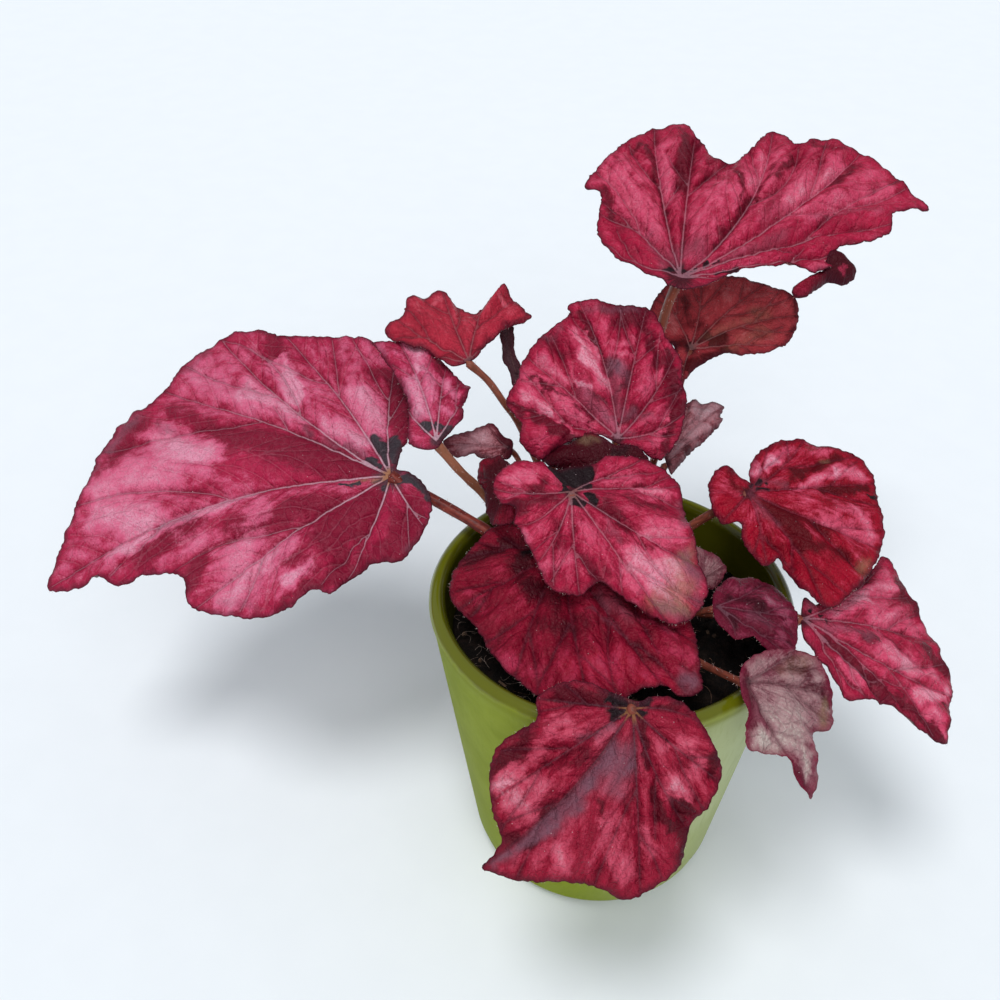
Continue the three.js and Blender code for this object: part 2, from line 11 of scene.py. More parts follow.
import bpy
import numpy as np
from mathutils import Matrix, Vector, kdtree
from mathutils.geometry import delaunay_2d_cdt


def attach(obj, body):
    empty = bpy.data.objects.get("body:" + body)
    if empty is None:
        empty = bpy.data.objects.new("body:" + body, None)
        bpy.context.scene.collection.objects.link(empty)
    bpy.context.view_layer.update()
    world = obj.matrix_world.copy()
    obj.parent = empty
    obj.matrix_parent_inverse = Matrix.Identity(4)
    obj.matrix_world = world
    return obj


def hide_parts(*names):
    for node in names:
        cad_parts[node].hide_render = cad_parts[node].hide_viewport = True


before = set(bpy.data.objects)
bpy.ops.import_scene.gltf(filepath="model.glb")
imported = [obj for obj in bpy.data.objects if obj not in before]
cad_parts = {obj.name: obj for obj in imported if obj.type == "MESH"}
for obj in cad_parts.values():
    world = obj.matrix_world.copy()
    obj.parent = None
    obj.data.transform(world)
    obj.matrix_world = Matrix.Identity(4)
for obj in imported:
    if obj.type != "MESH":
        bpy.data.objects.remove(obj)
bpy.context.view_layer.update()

MM = 0.001
PER_METRE = 1000.0  # turns metres into the millimetres that the patterns are sized in

# ---------- sizes, in millimetres ----------
POT = dict(height=123.6, rim=65.0, foot=47.0, foot_round=6.0, wall=6.0, floor=9.0)
SOIL_TOP = POT["height"] - 15.0
CROWN = dict(x=-4.0, y=14.0, radius=17.5, depth=7.0, height=4.0)
FOOT_HEIGHT = SOIL_TOP + CROWN["height"] - 3.4
CELL = 0.85  # spacing of a blade's mesh
MARGIN_STEP = CELL * 0.9  # spacing of the points on its margin
BATCH = 2000  # points whose distances are worked out at a time
VEIN_STEP = 1.3  # how far a side vein grows before it may turn
LIFT_POWER = 1.8  # how late a blade bends towards its margin's height
STROKE_SPILL = 0.2  # share of a painted stroke that shows beyond a main vein
STROKE_STRAY = 1.3  # how far a stroke strays from its line
RISE = 2.8  # how far a blade stands up between two main veins
GROOVE = 2.0  # how far it sinks along them
GROOVE_WIDTH = 4.2
PUCKER = 0.55  # how far it stands up between two side veins
PUCKER_WIDTH = 2.0
SWELL = 0.45  # its slow unevenness
DIMPLE = 0.16  # its quick unevenness
RELIEF_START = 15  # distance from the stalk over which all that grows
CRINKLE = 0.32  # how far the margin wavers in the blade's plane
RIPPLE = 0.9  # how far it wavers out of that plane
BLADE_EDGE = 0.34  # a blade's thickness at its margin
BLADE_BODY = 0.36  # how much thicker it is further in
MAIN_RIDGE = 0.55  # how far a main vein stands out below
SIDE_RIDGE = 0.22
CROWDED = 24  # outline points of a large leaf: one with fewer is less pleated
STALK_TOP = 0.8  # a stalk's radius at the blade, over that at its foot
STALK_SIDES = 16
STALK_STEP = 1.3  # spacing of its rings
STALK_RUN = 60  # length over which every stalk's streaks are drawn
KNUCKLE = 0.22  # how much thicker it gets at the blade
SUNK = 0.9  # how far below the blade's plane a stalk ends at least
OUTER = 13  # rings of stalk feet on the crown
INNER = 6
SOIL_WAVE = 1.1  # height of the soil's swells
FLOOR = dict(half=6000, level=-0.2)
SKY = dict(colour=(0.88, 0.945, 1.0, 1), strength=0.47)
# Seeds of all random draws. A leaf adds its number to most of them.
SEEDS = dict(
    veins=500, stray=60, fine_stray=70, swell=100, dimple=140, crinkle=200, ripple=300,
    stalk=700, soil=31, crown=77, crumbs=3, chips=5, fibres=8, roots=13, stalk_hairs=21,
    margin_hairs=34,
)
THREAD = 0.00007  # radius of a hair or a fibre, in metres
CAMERA = dict(at=(-0.040, -0.316, 0.414), down=38.3, roll=0.66, lens=43.2, sensor=36.0)

# ---------- the leaves ----------
# at: where the stalk meets the blade. aim: heading, pitch and roll of the main vein, degrees.
# hub: angle, reach and any height of the place from which the blade bends to its outline.
# outline: [angle from the main vein, reach from the stalk, height off the blade's plane].
# veins: direction of each main vein half way and at its end. foot: ring and compass angle on
# the crown. via: points on the stalk's way up. radius: the stalk's, at its foot. skin: the
# blade's material. pleat: how deep it is folded along its veins. stalk_light: how pale the stalk
# is. tip: how far it is drawn out, over its radius. tan_hub: how tan the veins are above it.
# silver, deep, dusk, heart, tan: strokes of that tone on the blade, each
# [angle, reach, angle, reach, width, strength] from one end to the other. The silver and deep
# strokes are partly the leaf's own tone and partly painted light and painted shade on its pleated
# panels and folds; a silver stroke of negative strength paints shade.
# curl: a curled lobe of the same leaf, which is a blade of its own.
LEAVES = [dict(
    name="left_large", slot="leaf_crimson", skin="silvered", stalk_light=0, tan_hub=1, tip=0.4,
    at=[-81, 40, 144], aim=[-168, -14, -18], hub=[-18, 42],
    outline=[
        [-1, 127, -12], [-1, 118, -8], [2, 110, -10], [3, 97, -7], [9, 85, -3], [16, 87, -5],
        [22, 81, -7], [32, 69, -9], [39, 60, -5], [42, 51, -5], [50, 49, -5], [55, 40, -8], [68, 34, -5],
        [82, 34, -5], [104, 26, -4], [126, 20, -3], [148, 13, -2], [175, 7, -1], [-137, 4, -1],
        [-123, 12, -2], [-121, 23, -3], [-113, 36, -4], [-105, 54, -4], [-95, 69, -3], [-83, 79, -5],
        [-72, 87, -1], [-68, 100, -4], [-64, 104, -2], [-58, 108, -3], [-51, 113, -5], [-41, 110, -2],
        [-36, 119, -5], [-29, 123, -5], [-19, 125, -4], [-10, 133, -10], [-3, 140, -14],
    ],
    veins=[[-94, -104], [-79, -72], [-52, -60], [-49, -43], [-19, -3], [10, 18], [60, 52], [103, 106]],
    foot=[OUTER, 178], via=[[-47, 27, 130], [-66, 36, 136.5]], radius=2.4,
    silver=[
        [-53, 78, -55, 48, 4, 0.8], [-59, 56, -65, 79, 3, 0.7], [-51, 108, -49, 73, 5, 0.4],
        [-72, 22, -60, 35, 4, 0.7], [-82, 44, -75, 21, 5, 0.35], [-18, 115, -23, 90, 8, 0.55],
        [-32, 99, -27, 74, 6, 0.7], [-8, 103, -9, 74, 4, 0.8], [-12, 54, -8, 74, 2, 0.9],
        [-6, 95, -5, 112, 3, 0.9], [20, 73, 18, 48, 6, 0.7], [0, 51, 14, 67, 5, 0.55],
        [1, 75, -4, 85, 4, 0.3], [-31, 92, -26, 79, 2, 0.95], [-67, 77, -62, 57, 2.5, 0.95],
        [-88, 42, -94, 24, 4.5, 0.65], [32, 55, 35, 45, 2, 0.75], [-13, 117, -11, 94, 5, 0.75],
        [60, 20, 90, 20, 7, -0.5], [30, 25, 45, 35, 6, -0.5], [-40, 30, -38, 60, 7, -0.5],
        [-20, 30, -24, 60, 6, -0.3],
    ],
    deep=[
        [-44, 11, -36, 41, 6, 1.0], [-38, 27, -36, 66, 7, 0.8], [52, 13, 31, 31, 8, 0.9],
        [9, 25, 3, 38, 5, 0.8], [107, 16, 85, 28, 6, 0.9], [74, 30, 49, 41, 5, 0.7],
        [4, 44, 1, 63, 4, 0.6], [-36, 69, -39, 99, 4, 0.6], [-6, 74, -1, 99, 5, 0.6],
        [-109, 11, -113, 30, 3, 0.6], [-100, 31, -108, 45, 4, 0.9], [-70, 92, -66, 77, 4, 0.8],
        [-24, 118, -34, 112, 5, 0.6], [12, 84, 8, 77, 4, 0.9], [20, 49, 37, 46, 4, 0.5],
        [-95, 52, -102, 48, 2.5, 0.9], [-102, 48, -111, 38, 1.5, 0.9], [40, 51, 55, 41, 1.5, 0.9],
        [35, 64, 39, 53, 2, 0.7],
    ],
    dusk=[
        [-28, 121, -36, 115, 3, 0.7], [-35, 103, -34, 95, 2, 0.4], [-8, 77, -8, 91, 2.5, 0.5],
        [-52, 44, -50, 39, 1.5, 0.6], [-52, 32, -60, 16, 2.5, 0.6], [-50, 110, -56, 106, 2, 0.35],
        [-24, 126, -24, 124, 3, 0.5], [21, 76, 28, 68, 2, 0.3], [91, 30, 92, 31, 2, 0.6],
        [-13, 52, -10, 66, 1, 0.5],
    ],
    heart=[
        [-83, 18, -95, 6, 3, 1], [-102, 16, -131, 9, 3, 1], [-56, 13, -58, 6, 1.5, 0.8],
        [-6, 20, 0, 12, 1, 1], [125, 3, 156, 11, 2.5, 1], [151, 11, 130, 18, 1.5, 0.8],
        [35, 6, 48, 6, 1, 0.9],
    ],
    tan=[[-7, 17, 13, 1, 1, 0.9]],
), dict(
    name="left_upper", slot="leaf_crimson", skin="silvered", stalk_light=0.55, at=[-63, 32, 166],
    aim=[105, 16, -10], hub=[0, 18],
    outline=[
        [13, 40, -3], [15, 24, -3], [29, 16, -3], [61, 11, -4], [90, 6, -3], [165, 3, -1], [-63, 4, -2],
        [-55, 8, -3], [-51, 15, -3], [-41, 20, -3], [-37, 29, -5], [-27, 31, -3], [-15, 40, -5],
        [-10, 45, -3], [-3, 51, -4], [7, 54, -3], [14, 58, -3],
    ],
    veins=[[-36, -39], [-16, -17], [-3, 4], [26, 13]], foot=[INNER, 170],
    via=[[-36, 32, 127], [-46, 38, 137], [-55, 33, 152]], radius=2,
    silver=[
        [1, 36, 9, 15, 4, 0.8], [2, 49, -4, 42, 2.5, 0.7], [-18, 28, -32, 22, 2, 0.4],
        [-19, 15, -38, 14, 1.5, 0.35], [-7, 33, -8, 20, 2, 0.3], [13, 56, 12, 48, 1, 0.5],
    ],
    deep=[
        [-12, 45, -14, 30, 1, 0.6], [-17, 20, -38, 23, 1, 0.4], [-38, 11, -47, 17, 1.5, 0.5],
        [-35, 27, -37, 26, 1, 0.8], [13, 26, 22, 17, 1, 0.3],
    ],
    dusk=[[14, 18, 22, 11, 1, 0.4]], heart=[[24, 8, -40, 7, 2.5, 0.95], [-71, 3, -58, 6, 1.5, 0.7]],
), dict(
    name="back_left", slot="leaf_red", skin="scarlet", pleat=0.5, stalk_light=0.35, at=[-52, 64, 180],
    aim=[145, 5, -7], hub=[-45, 14],
    outline=[
        [11, 25, -2], [9, 17, -3], [35, 9, -2], [52, 4, -2], [-107, 3, -1], [-84, 11, -2], [-87, 19, -2],
        [-87, 26, -3], [-91, 29, -2], [-95, 36, -2], [-80, 40, -1], [-72, 43.5, 3], [-66, 38, 0],
        [-64, 36, -2], [-58, 29, -2], [-45, 36, -3], [-39, 43, 0], [-30, 43, -2], [-21, 45, -1],
        [-11, 38, -2], [1, 39, -2], [6, 36, -5],
    ],
    veins=[[-83, -92], [-58, -64], [-36, -39], [0, -6], [28, 9]], foot=[OUTER, 115],
    via=[[-33, 64, 151], [-39, 64, 161], [-45, 65, 170]], radius=1.6,
    silver=[
        [-33, 38, -38, 38, 2, 0.45], [-72, 38, -77, 37, 1.5, 0.8], [-21, 42, -21, 36, 1.5, 0.35],
        [-4, 28, -34, 10, 4.5, -0.25],
    ],
    deep=[[15, 9, 1, 4, 1.5, 0.35], [-75, 5, -85, 16, 1.5, 0.4]], heart=[[-13, 1, -92, 3, 1, 0.6]],
), dict(
    name="withered", slot="leaf_withered", skin="withered", pleat=0.5, at=[-34, 83, 162],
    aim=[111, 45, -33], hub=[4, 7],
    outline=[
        [-8, 21, 0], [8, 18, 0], [13, 13, 0], [31, 8, 0], [63, 3, 0], [146, 5, 0], [-172, 4, 0],
        [-95, 3, 0], [-36, 4, 0], [-12, 7, 0], [-9, 12, 0], [-11, 15, 0],
    ],
    veins=[[6, -5]], foot=[OUTER, 95], via=[[-30, 80, 150]], radius=1.2,
), dict(
    name="centre_high", slot="leaf_crimson", skin="crimson", pleat=1.4, at=[3, 43, 160],
    aim=[109, 35, -11], hub=[0, 18],
    outline=[
        [5, 52, -2], [19, 50, -4], [34, 47, -6], [41, 44, -3], [54, 44, -6], [65, 36, -3], [75, 36, -5],
        [87, 29, -8], [81, 23, -7], [73, 16, -4], [60, 8, -2], [175, 2, -1], [-125, 7, -3],
        [-126, 17, -8], [-101, 23, -7], [-85, 27, -6], [-70, 33, -7], [-62, 34, -4], [-52, 42, -6],
        [-41, 45, -3], [-30, 55, -5], [-18, 54, -3], [-8, 57, -4], [2, 58, -5],
    ],
    veins=[[-95, -80], [-58, -48], [-27, -28], [-12, -2], [28, 29], [57, 53], [74, 88]],
    # The fold is painted deep wine red all over: its own dark red, and painted shade where it turns away
    # from the light.
    curl=dict(  # the dark fold in front of the stalk, where the basal lobes meet
        skin="wine", hub=[144, 8.6, -3.5], veins=[], silver=[], dusk=[], tan=[[72, 9, 75, 13, 2, 0.5]],
        deep=[[100, 22, -130, 13, 12, 1.0]], heart=[[-150, 5, 140, 6, 2, 0.4]],
        outline=[
            [100, 23, -9], [113, 20, -7], [126, 16, -5.5], [153, 12, -5], [-174, 12, -5], [-147, 15, -7],
            [-137, 15, -7], [-126, 10, -4.5], [-122, 7, -3.2], [-150, 2.8, -1.3], [140, 2.6, -1.2],
            [56, 9, -2.8], [67, 15, -5], [77, 21, -7.4], [82, 27, -9], [88, 28, -9.5],
        ],
    ),
    foot=[INNER, 95], via=[[2, 45, 143]], radius=2,
    silver=[
        [4, 46, 6, 35, 2, 0.8], [6, 35, -6, 21, 2.5, 0.9], [-1, 45, -3, 33, 1, 0.7],
        [27, 43, 23, 29, 2, 0.6], [47, 38, 52, 27, 2, 0.7], [52, 27, 66, 16, 1.5, 0.6],
        [-11, 38, -24, 40, 1.5, 0.35], [-14, 34, -26, 33, 1.5, 0.4], [23, 11, 1, 5, 1.5, 0.3],
        [-77, 24, -95, 17, 2.5, 0.4], [40, 26, 47, 11, 3, 0.4], [37, 43, 31, 22, 4, 0.3],
        [-44, 21, -46, 31, 2.5, 0.35], [20, 27, 14, 21, 0.7, 1.5],
    ],
    deep=[
        [-1, 53, -5, 39, 1.5, 0.9], [-5, 39, -9, 26, 1, 0.8], [19, 48, 16, 38, 2, 0.5],
        [37, 41, 35, 28, 1, 0.8], [35, 28, 34, 12, 1.5, 0.7], [54, 42, 59, 30, 1.5, 0.8],
        [59, 30, 73, 17, 2, 0.9], [-14, 46, -26, 49, 2.5, 0.4], [-29, 49, -40, 35, 1.5, 0.8],
        [-26, 26, -18, 19, 1, 0.6], [-33, 8, -43, 14, 1.5, 0.5], [-45, 40, -60, 32, 1.5, 0.8],
        [-73, 28, -112, 17, 2, 0.7], [11, 18, 5, 14, 1, 0.6], [-47, 37, -79, 26, 4, 0.5],
        [-13, 53, -30, 52, 4, 0.5],
    ],
    dusk=[
        [-13, 29, -24, 25, 2.5, 0.6], [20, 23, 18, 9, 2.5, 0.55], [-31, 11, -66, 15, 2.5, 0.5],
        [-3, 54, -24, 53, 2, 0.5], [-80, 5, -102, 13, 1.5, 0.5], [10, 49, 18, 48, 1.5, 0.4],
        [-9, 5, -12, 27, 4, 0.5],
    ],
    heart=[[-17, 6, -70, 1, 1, 0.6]],
), dict(
    name="centre_front", slot="leaf_dark", skin="crimson", tan_hub=0.5, tip=0.4, at=[-15, 16, 156],
    aim=[-50, -14, 11], hub=[10, 12],
    outline=[
        [165, 11, -1], [178, 17, -2], [-169, 23, -3], [-157, 27, -4], [-139, 28, -4], [-123, 25, -4],
        [-116, 20, -4], [-103, 22, -6], [-74, 25, -5], [-58, 33, -4], [-48, 37, -6], [-36, 38, -7],
        [-29, 36, -5], [-23, 36, -3], [-17, 42, -4], [-11, 48, -7], [-7, 57, -5], [2, 60, -9],
        [14, 58, -8], [21, 51, -6], [33, 44, -3], [47, 40, -6], [58, 39, -3], [75, 36, -5], [89, 29, -3],
        [104, 23, -4], [110, 15, -1],
    ],
    veins=[[-126, -136], [-76, -98], [-49, -63], [-39, -35], [-6, -6], [14, 20], [64, 58], [85, 84]],
    foot=[INNER, 235], via=[[-12, 15, 136]], radius=2,
    silver=[
        [-145, 24, -159, 16, 3, 0.5], [-129, 25, -133, 20, 2, 0.4], [60, 25, 55, 34, 3, 0.65],
        [82, 13, 73, 22, 3, 0.35], [21, 32, 30, 39, 4, 0.65], [1, 36, 12, 45, 5.5, 0.95],
        [-1, 44, 2, 50, 4, 0.75], [-57, 32, -43, 25, 3, 0.4], [-8, 35, -9, 43, 3, 0.5],
        [-33, 11, -15, 20, 3, 0.2], [-93, 21, -81, 23, 1.5, 0.5],
    ],
    deep=[
        [25, 13, 14, 23, 3.5, 0.6], [41, 21, 41, 31, 2.5, 0.5], [-117, 8, -110, 17, 3, 0.6],
        [-118, 20, -116, 19, 2, 0.7], [-132, 15, -146, 10, 2, 0.6], [-64, 13, -48, 22, 2, 0.4],
        [-31, 26, -20, 34, 3, 0.4], [0, 26, 11, 34, 2, 0.3], [57, 16, 63, 26, 1, 0.5],
        [-27, 35, -20, 43, 2, 0.4],
    ],
    dusk=[
        [20, 45, 16, 52, 3, 0.8], [-5, 51, 2, 58, 3, 0.8], [6, 16, -3, 27, 1, 0.4],
        [47, 39, 35, 41, 1.5, 0.5], [10, 53, 9, 60, 2, 0.5],
    ],
    heart=[
        [175, 11, -20, 2, 4, 1], [-20, 2, 16, 7, 3, 1], [107, 9, 67, 6, 3, 1], [150, 12, 120, 12, 4, 1],
        [150, 6, 110, 6, 4, 1],
    ],
    tan=[
        [2, 49, 10, 50, 4, 0.6], [-6, 50, 3, 56, 3, 0.6], [14, 44, 22, 46, 3, 0.45],
        [-176, 1, -25, 5, 1, 0.7],
    ],
), dict(
    name="low_front", slot="leaf_dull_red", skin="wine", pleat=0.8, at=[-18, 8, 135], aim=[-80, -8, 3],
    hub=[0, 18],
    outline=[
        [-142, 22, 0], [-131, 29, -3], [-106, 33, -3], [-92, 39, -5], [-75, 43, -3], [-63, 42, -5],
        [-50, 44, -3], [-43, 47, -4], [-33, 52, -3], [-27, 54, -5], [-18, 60, -3], [-9, 62, -4],
        [0, 65, -3], [11, 61, -5], [20, 64, -3], [23, 69, -5], [28, 72, -4], [34, 64, -2], [45, 53, -3],
        [52, 38, 0], [62, 22, 0], [75, 8, -1], [165, 5, -1], [-157, 14, 0],
    ],
    veins=[[-113, -114], [-71, -68], [-32, -28], [-6, -3], [19, 20], [40, 39]], foot=[OUTER, 235], via=[],
    radius=1.8,
    silver=[
        [-43, 44, -33, 49, 4, 0.35], [-29, 51, -21, 50, 3.5, 0.25], [32, 40, 36, 49, 2, 0.4],
        [31, 58, 32, 62, 2.5, 0.4], [-76, 37, -61, 36, 2.5, 0.3], [-10, 42, -7, 42, 3.5, 0.2],
    ],
    deep=[
        [-6, 50, 10, 49, 5.5, -0.6], [16, 58, 21, 62, 3.5, -0.5], [-100, 32, -117, 20, 5, 0.7],
        [-74, 18, -37, 22, 3.5, 0.5], [-19, 32, 2, 33, 4.5, 0.4], [-119, 10, -79, 15, 4, 0.9],
        [21, 47, 23, 57, 2, 0.4], [-15, 25, -41, 18, 3, 0.5],
    ],
    dusk=[[27, 65, 27, 70, 2.5, 0.9], [9, 27, 20, 42, 1, 0.4], [22, 24, 28, 37, 3, 0.35]],
    heart=[[-112, 10, -95, 14, 2.5, 0.6]],
), dict(
    name="front", slot="leaf_crimson", skin="garnet", pleat=1.15, tan_hub=1, tip=0.4, at=[2, -63, 132],
    aim=[-144, -30, -32], hub=[35, 22],
    outline=[
        [-85, 8, -3], [-75, 17, -5], [-64, 24, -3], [-51, 30, -6], [-39, 30, -3], [-33, 38, -6],
        [-29, 44, -4], [-21, 49, -6], [-9, 54, -4], [0, 58, -6], [1, 68, -5], [12, 63, -6], [25, 56, -3],
        [35, 56, -6], [42, 58, -4], [51, 55, -6], [61, 50, -4], [72, 40, -7], [82, 38, -4], [99, 35, -8],
        [109, 29, -4], [128, 21, -5], [148, 14, -3], [168, 7, -2], [-174, 3, -1],
    ],
    veins=[[-50, -51], [-12, -12], [13, 1], [48, 47], [59, 70], [91, 96], [143, 124]], foot=[OUTER, 258],
    via=[[-2, -36, 113], [1, -50, 118.5], [2, -57, 124]], radius=1.9,
    silver=[
        [-14, 48, -1, 45, 4, 0.85], [-17, 44, -4, 37, 3.5, 0.5], [-34, 27, -33, 21, 2.5, 0.45],
        [-23, 39, -19, 31, 3, 0.35], [73, 27, 76, 31, 3.5, 0.75], [87, 14, 102, 21, 3, 0.45],
        [88, 26, 99, 28, 2.5, 0.45], [32, 36, 36, 41, 3.5, 0.45], [49, 37, 52, 45, 2, 0.45],
        [38, 46, 42, 49, 3.5, 0.5], [16, 49, 22, 52, 2.5, 0.45], [-3, 14, -1, 9, 2, 0.5],
    ],
    deep=[
        [-55, 22, -54, 9, 3.5, 0.7], [-20, 46, -29, 35, 3, 0.75], [5, 43, 8, 34, 2.5, 0.5],
        [80, 5, 59, 18, 1.5, 0.9], [59, 25, 61, 38, 1.5, 0.7], [70, 34, 65, 48, 3.5, 0.75],
        [40, 27, 42, 37, 1.5, 0.3], [-12, 30, -1, 21, 2.5, 0.4], [1, 55, 8, 51, 2.5, 0.5],
        [95, 33, 110, 29, 1.5, 0.7], [139, 8, 141, 15, 1.5, 0.5], [24, 30, 30, 35, 1, 0.5],
    ],
    dusk=[
        [-14, 18, -5, 8, 2.5, 0.6], [17, 19, 43, 14, 5, 0.8], [32, 25, 38, 19, 3.5, 0.55],
        [14, 27, 8, 46, 3, 0.9], [8, 44, 3, 64, 2.4, 0.9], [12, 12, 10, 30, 2.4, 0.7],
    ],
    heart=[[-83, 6, -33, 5, 3.5, 0.9], [-175, 5, 111, 3, 2.5, 0.9], [2, 65, 0, 69, 1.5, 0.9]],
    tan=[[-128, 4, -25, 1, 1, 0.8]],
), dict(
    name="right_high", slot="leaf_red", skin="ruby", pleat=0.8, tip=0.4, at=[48, 19, 155],
    aim=[-61, -19, 2], hub=[25, 20],
    outline=[
        [140, 4, -1], [-176, 14, -3], [-145, 14, -5], [-102, 14, -4], [-68, 14, -6], [-45, 13, -3],
        [-34, 19, -6], [-20, 28, -5], [-9, 27, -3], [-6, 34, -5], [-4, 41, -3], [4, 49, -6], [16, 49, -5],
        [33, 50, -6], [50, 51, -5], [63, 49, -3], [80, 52, -5], [90, 49, -3], [100, 42, -4],
        [117, 33, -3], [132, 22, -3], [143, 12, -2],
    ],
    veins=[[-60, -70], [-11, -18], [12, 2], [33, 44], [73, 75], [100, 110], [117, 128]], foot=[OUTER, 25],
    via=[[30, 24, 134], [38, 23, 142]], radius=1.9,
    silver=[
        [132, 10, 120, 18, 3, 0.9], [120, 18, 114, 29, 2.5, 0.5], [73, 19, 83, 38, 1.5, 0.6],
        [83, 38, 79, 48, 2.5, 0.65], [41, 28, 45, 45, 3.5, 0.5], [57, 40, 50, 45, 2.5, 0.55],
        [58, 31, 55, 40, 2, 0.3], [107, 36, 97, 39, 2, 0.3], [-91, 10, -77, 11, 3.5, -0.5],
        [-28, 17, -15, 25, 3.5, -0.4], [5, 41, 21, 41, 3.5, -0.4],
    ],
    deep=[
        [28, 8, 15, 25, 3.5, 0.8], [33, 16, 35, 29, 3.5, 0.55], [69, 28, 73, 48, 1.5, 0.8],
        [88, 21, 92, 41, 2, 0.7], [12, 27, 29, 40, 2.5, 0.6], [86, 16, 90, 22, 1.5, 0.5],
        [-179, 11, -156, 5, 2, 0.5], [-8, 17, -4, 27, 2, 0.3],
    ],
    dusk=[[110, 8, 81, 15, 1.5, 0.4], [4, 5, 7, 15, 1.5, 0.4]],
    heart=[[131, 3, 101, 8, 1.5, 0.9], [90, 2, 73, 10, 1, 0.7], [68, 45, 67, 49, 1, 0.8]],
    tan=[[93, 36, 92, 37, 1.5, 0.5], [33, 48, 26, 47, 2, 0.5]],
), dict(
    name="right_low", slot="leaf_crimson", skin="crimson", at=[64, -20, 131], aim=[-30, -30, 2],
    hub=[20, 16],
    outline=[
        [-58, 6, -2], [-25, 13, -4], [-26, 23, -3], [-21, 30, -5], [-11, 34, -3], [0, 41, -5],
        [0, 48, -3], [2, 57, -5], [6, 68, -7], [14, 65, -4], [28, 68, -6], [36, 62, -3], [44, 61, -5],
        [56, 58, -3], [67, 59, -4], [75, 58, -3], [72, 41, -2], [72, 24, -1], [78, 11, -1], [115, 8, -1],
    ],
    veins=[[-2, -23], [-3, -1], [14, 1], [13, 22], [45, 40], [61, 74]], foot=[INNER, -25],
    via=[[34, -4, 117], [52, -12, 127.6]], radius=1.9,
    silver=[
        [54, 14, 66, 31, 4, 0.75], [66, 31, 63, 49, 4, 0.65], [47, 31, 45, 53, 3.5, 0.5],
        [27, 34, 24, 44, 4.5, 0.75], [24, 44, 27, 58, 2.5, 0.6], [14, 51, 22, 64, 3, 0.95],
        [10, 57, 8, 65, 2.5, 0.6], [-8, 19, -5, 29, 2, 0.45], [71, 49, 70, 53, 2.5, 0.3],
    ],
    deep=[
        [63, 55, 52, 57, 2.5, 0.8], [70, 34, 71, 44, 2, 0.4], [37, 53, 30, 65, 2, 0.8],
        [32, 22, 24, 39, 1.5, 0.4], [1, 11, 1, 32, 2.5, 0.6], [3, 37, 6, 64, 2.5, 0.65],
        [17, 62, 11, 66, 1, 0.7],
    ],
    dusk=[[28, 8, 32, 28, 2, 0.5], [100, 9, 41, 5, 2, 0.6]], heart=[[76, 5, 41, 9, 1, 0.7]],
), dict(
    name="right_small", slot="leaf_silver", skin="mauve", at=[33, -21, 137], aim=[-41, -9, 3],
    hub=[40, 14],
    outline=[
        [-67, 3, -1], [-37, 8, -2], [-19, 13, -3], [-2, 17, -1], [-4, 23, -2], [2, 29, -3], [23, 29, -4],
        [44, 28, -2], [60, 27, -3], [74, 23, -2], [92, 20, -2], [111, 13, -2], [130, 6, -1],
    ],
    veins=[[0, -19], [7, 5], [34, 38], [63, 76]], foot=[OUTER, -50], via=[[20, -9, 121]], radius=1.5,
    silver=[
        [55, 19, 36, 25, 2.5, 0.6], [86, 14, 70, 18, 2, 0.3], [18, 23, 9, 29, 2, 0.5],
        [-18, 9, -9, 14, 1, 0.5],
    ],
    deep=[[72, 7, 43, 16, 2, 0.6], [79, 23, 58, 27, 2, 0.7], [9, 2, -3, 9, 1.5, 0.5]],
    dusk=[[33, 11, 20, 18, 2, 0.4]],
), dict(
    name="silver", slot="leaf_silver", skin="silver", at=[39, -52, 133], aim=[-54, -36, 3], hub=[40, 13],
    outline=[
        [-52, 4, -1], [-24, 10, -2], [-28, 20, -4], [-11, 23, -3], [2, 27, -2], [0, 33, -2], [3, 42, -4],
        [12, 39, -5], [19, 33, -2], [30, 29, -4], [37, 33, -2], [48, 34, -4], [64, 32, -2], [78, 30, -3],
        [92, 24, -2], [115, 13, -2], [160, 5, -1],
    ],
    veins=[[-8, -27], [0, 4], [66, 54], [87, 91]], foot=[OUTER, 285], via=[[28, -30, 119]], radius=1.5,
    silver=[
        [-20, 16, -10, 22, 2.5, 0.7], [-21, 24, 14, 22, 4, 0.4], [13, 11, 27, 21, 4, 0.3],
        [14, 26, 7, 37, 1.5, 0.5], [-4, 7, -1, 15, 1.5, -0.6], [85, 8, 87, 14, 2, -0.4],
        [15, 32, 6, 41, 1, -0.5],
    ],
    deep=[
        [166, 6, -25, 3, 1.5, 0.9], [-33, 2, -26, 12, 1.6, 1.0], [91, 20, 53, 30, 3, 0.5],
        [69, 32, 49, 32, 1, 0.7], [3, 30, 2, 39, 1, 0.9],
    ],
    tan=[[35, 30, 52, 30, 2, 0.7], [81, 16, 81, 25, 3, 0.35]],
), dict(
    name="top_right", slot="leaf_crimson", skin="crimson", pleat=1.5, stalk_light=0.3, tip=0.4,
    at=[26, 85, 205], aim=[21, 4, 19], hub=[48, 32],
    outline=[
        [-156, 6, -2], [-88, 5, -3], [-34, 10, -3], [-9, 22, -2], [-6, 35, -3], [-6, 44, -4],
        [-8, 49, -5], [-10, 55, -6], [-8, 63, -7], [-2, 67, -5], [-3, 78, -3], [-1, 91, -4], [4, 98, -3],
        [3, 115, -6], [10, 111, -3], [15, 112, -4], [25, 109, -3], [31, 104, -3], [34, 94, -2],
        [39, 97, -3], [42, 94, -3], [44, 76, -1], [47, 68, -2], [56, 71, -1], [62, 85, -3], [67, 84, -2],
        [78, 79, -4], [89, 69, -3], [102, 61, -6], [101, 52, -4], [110, 44, -3], [122, 37, -4],
        [133, 28, -3], [151, 13, -2], [177, 7, -1],
    ],
    veins=[[-8, -15], [-3, -3], [10, 1], [13, 22], [22, 41], [62, 60], [76, 72], [95, 104], [141, 127]],
    curl=dict(  # a lobe of the lower margin that curls down and under, with a narrow tail
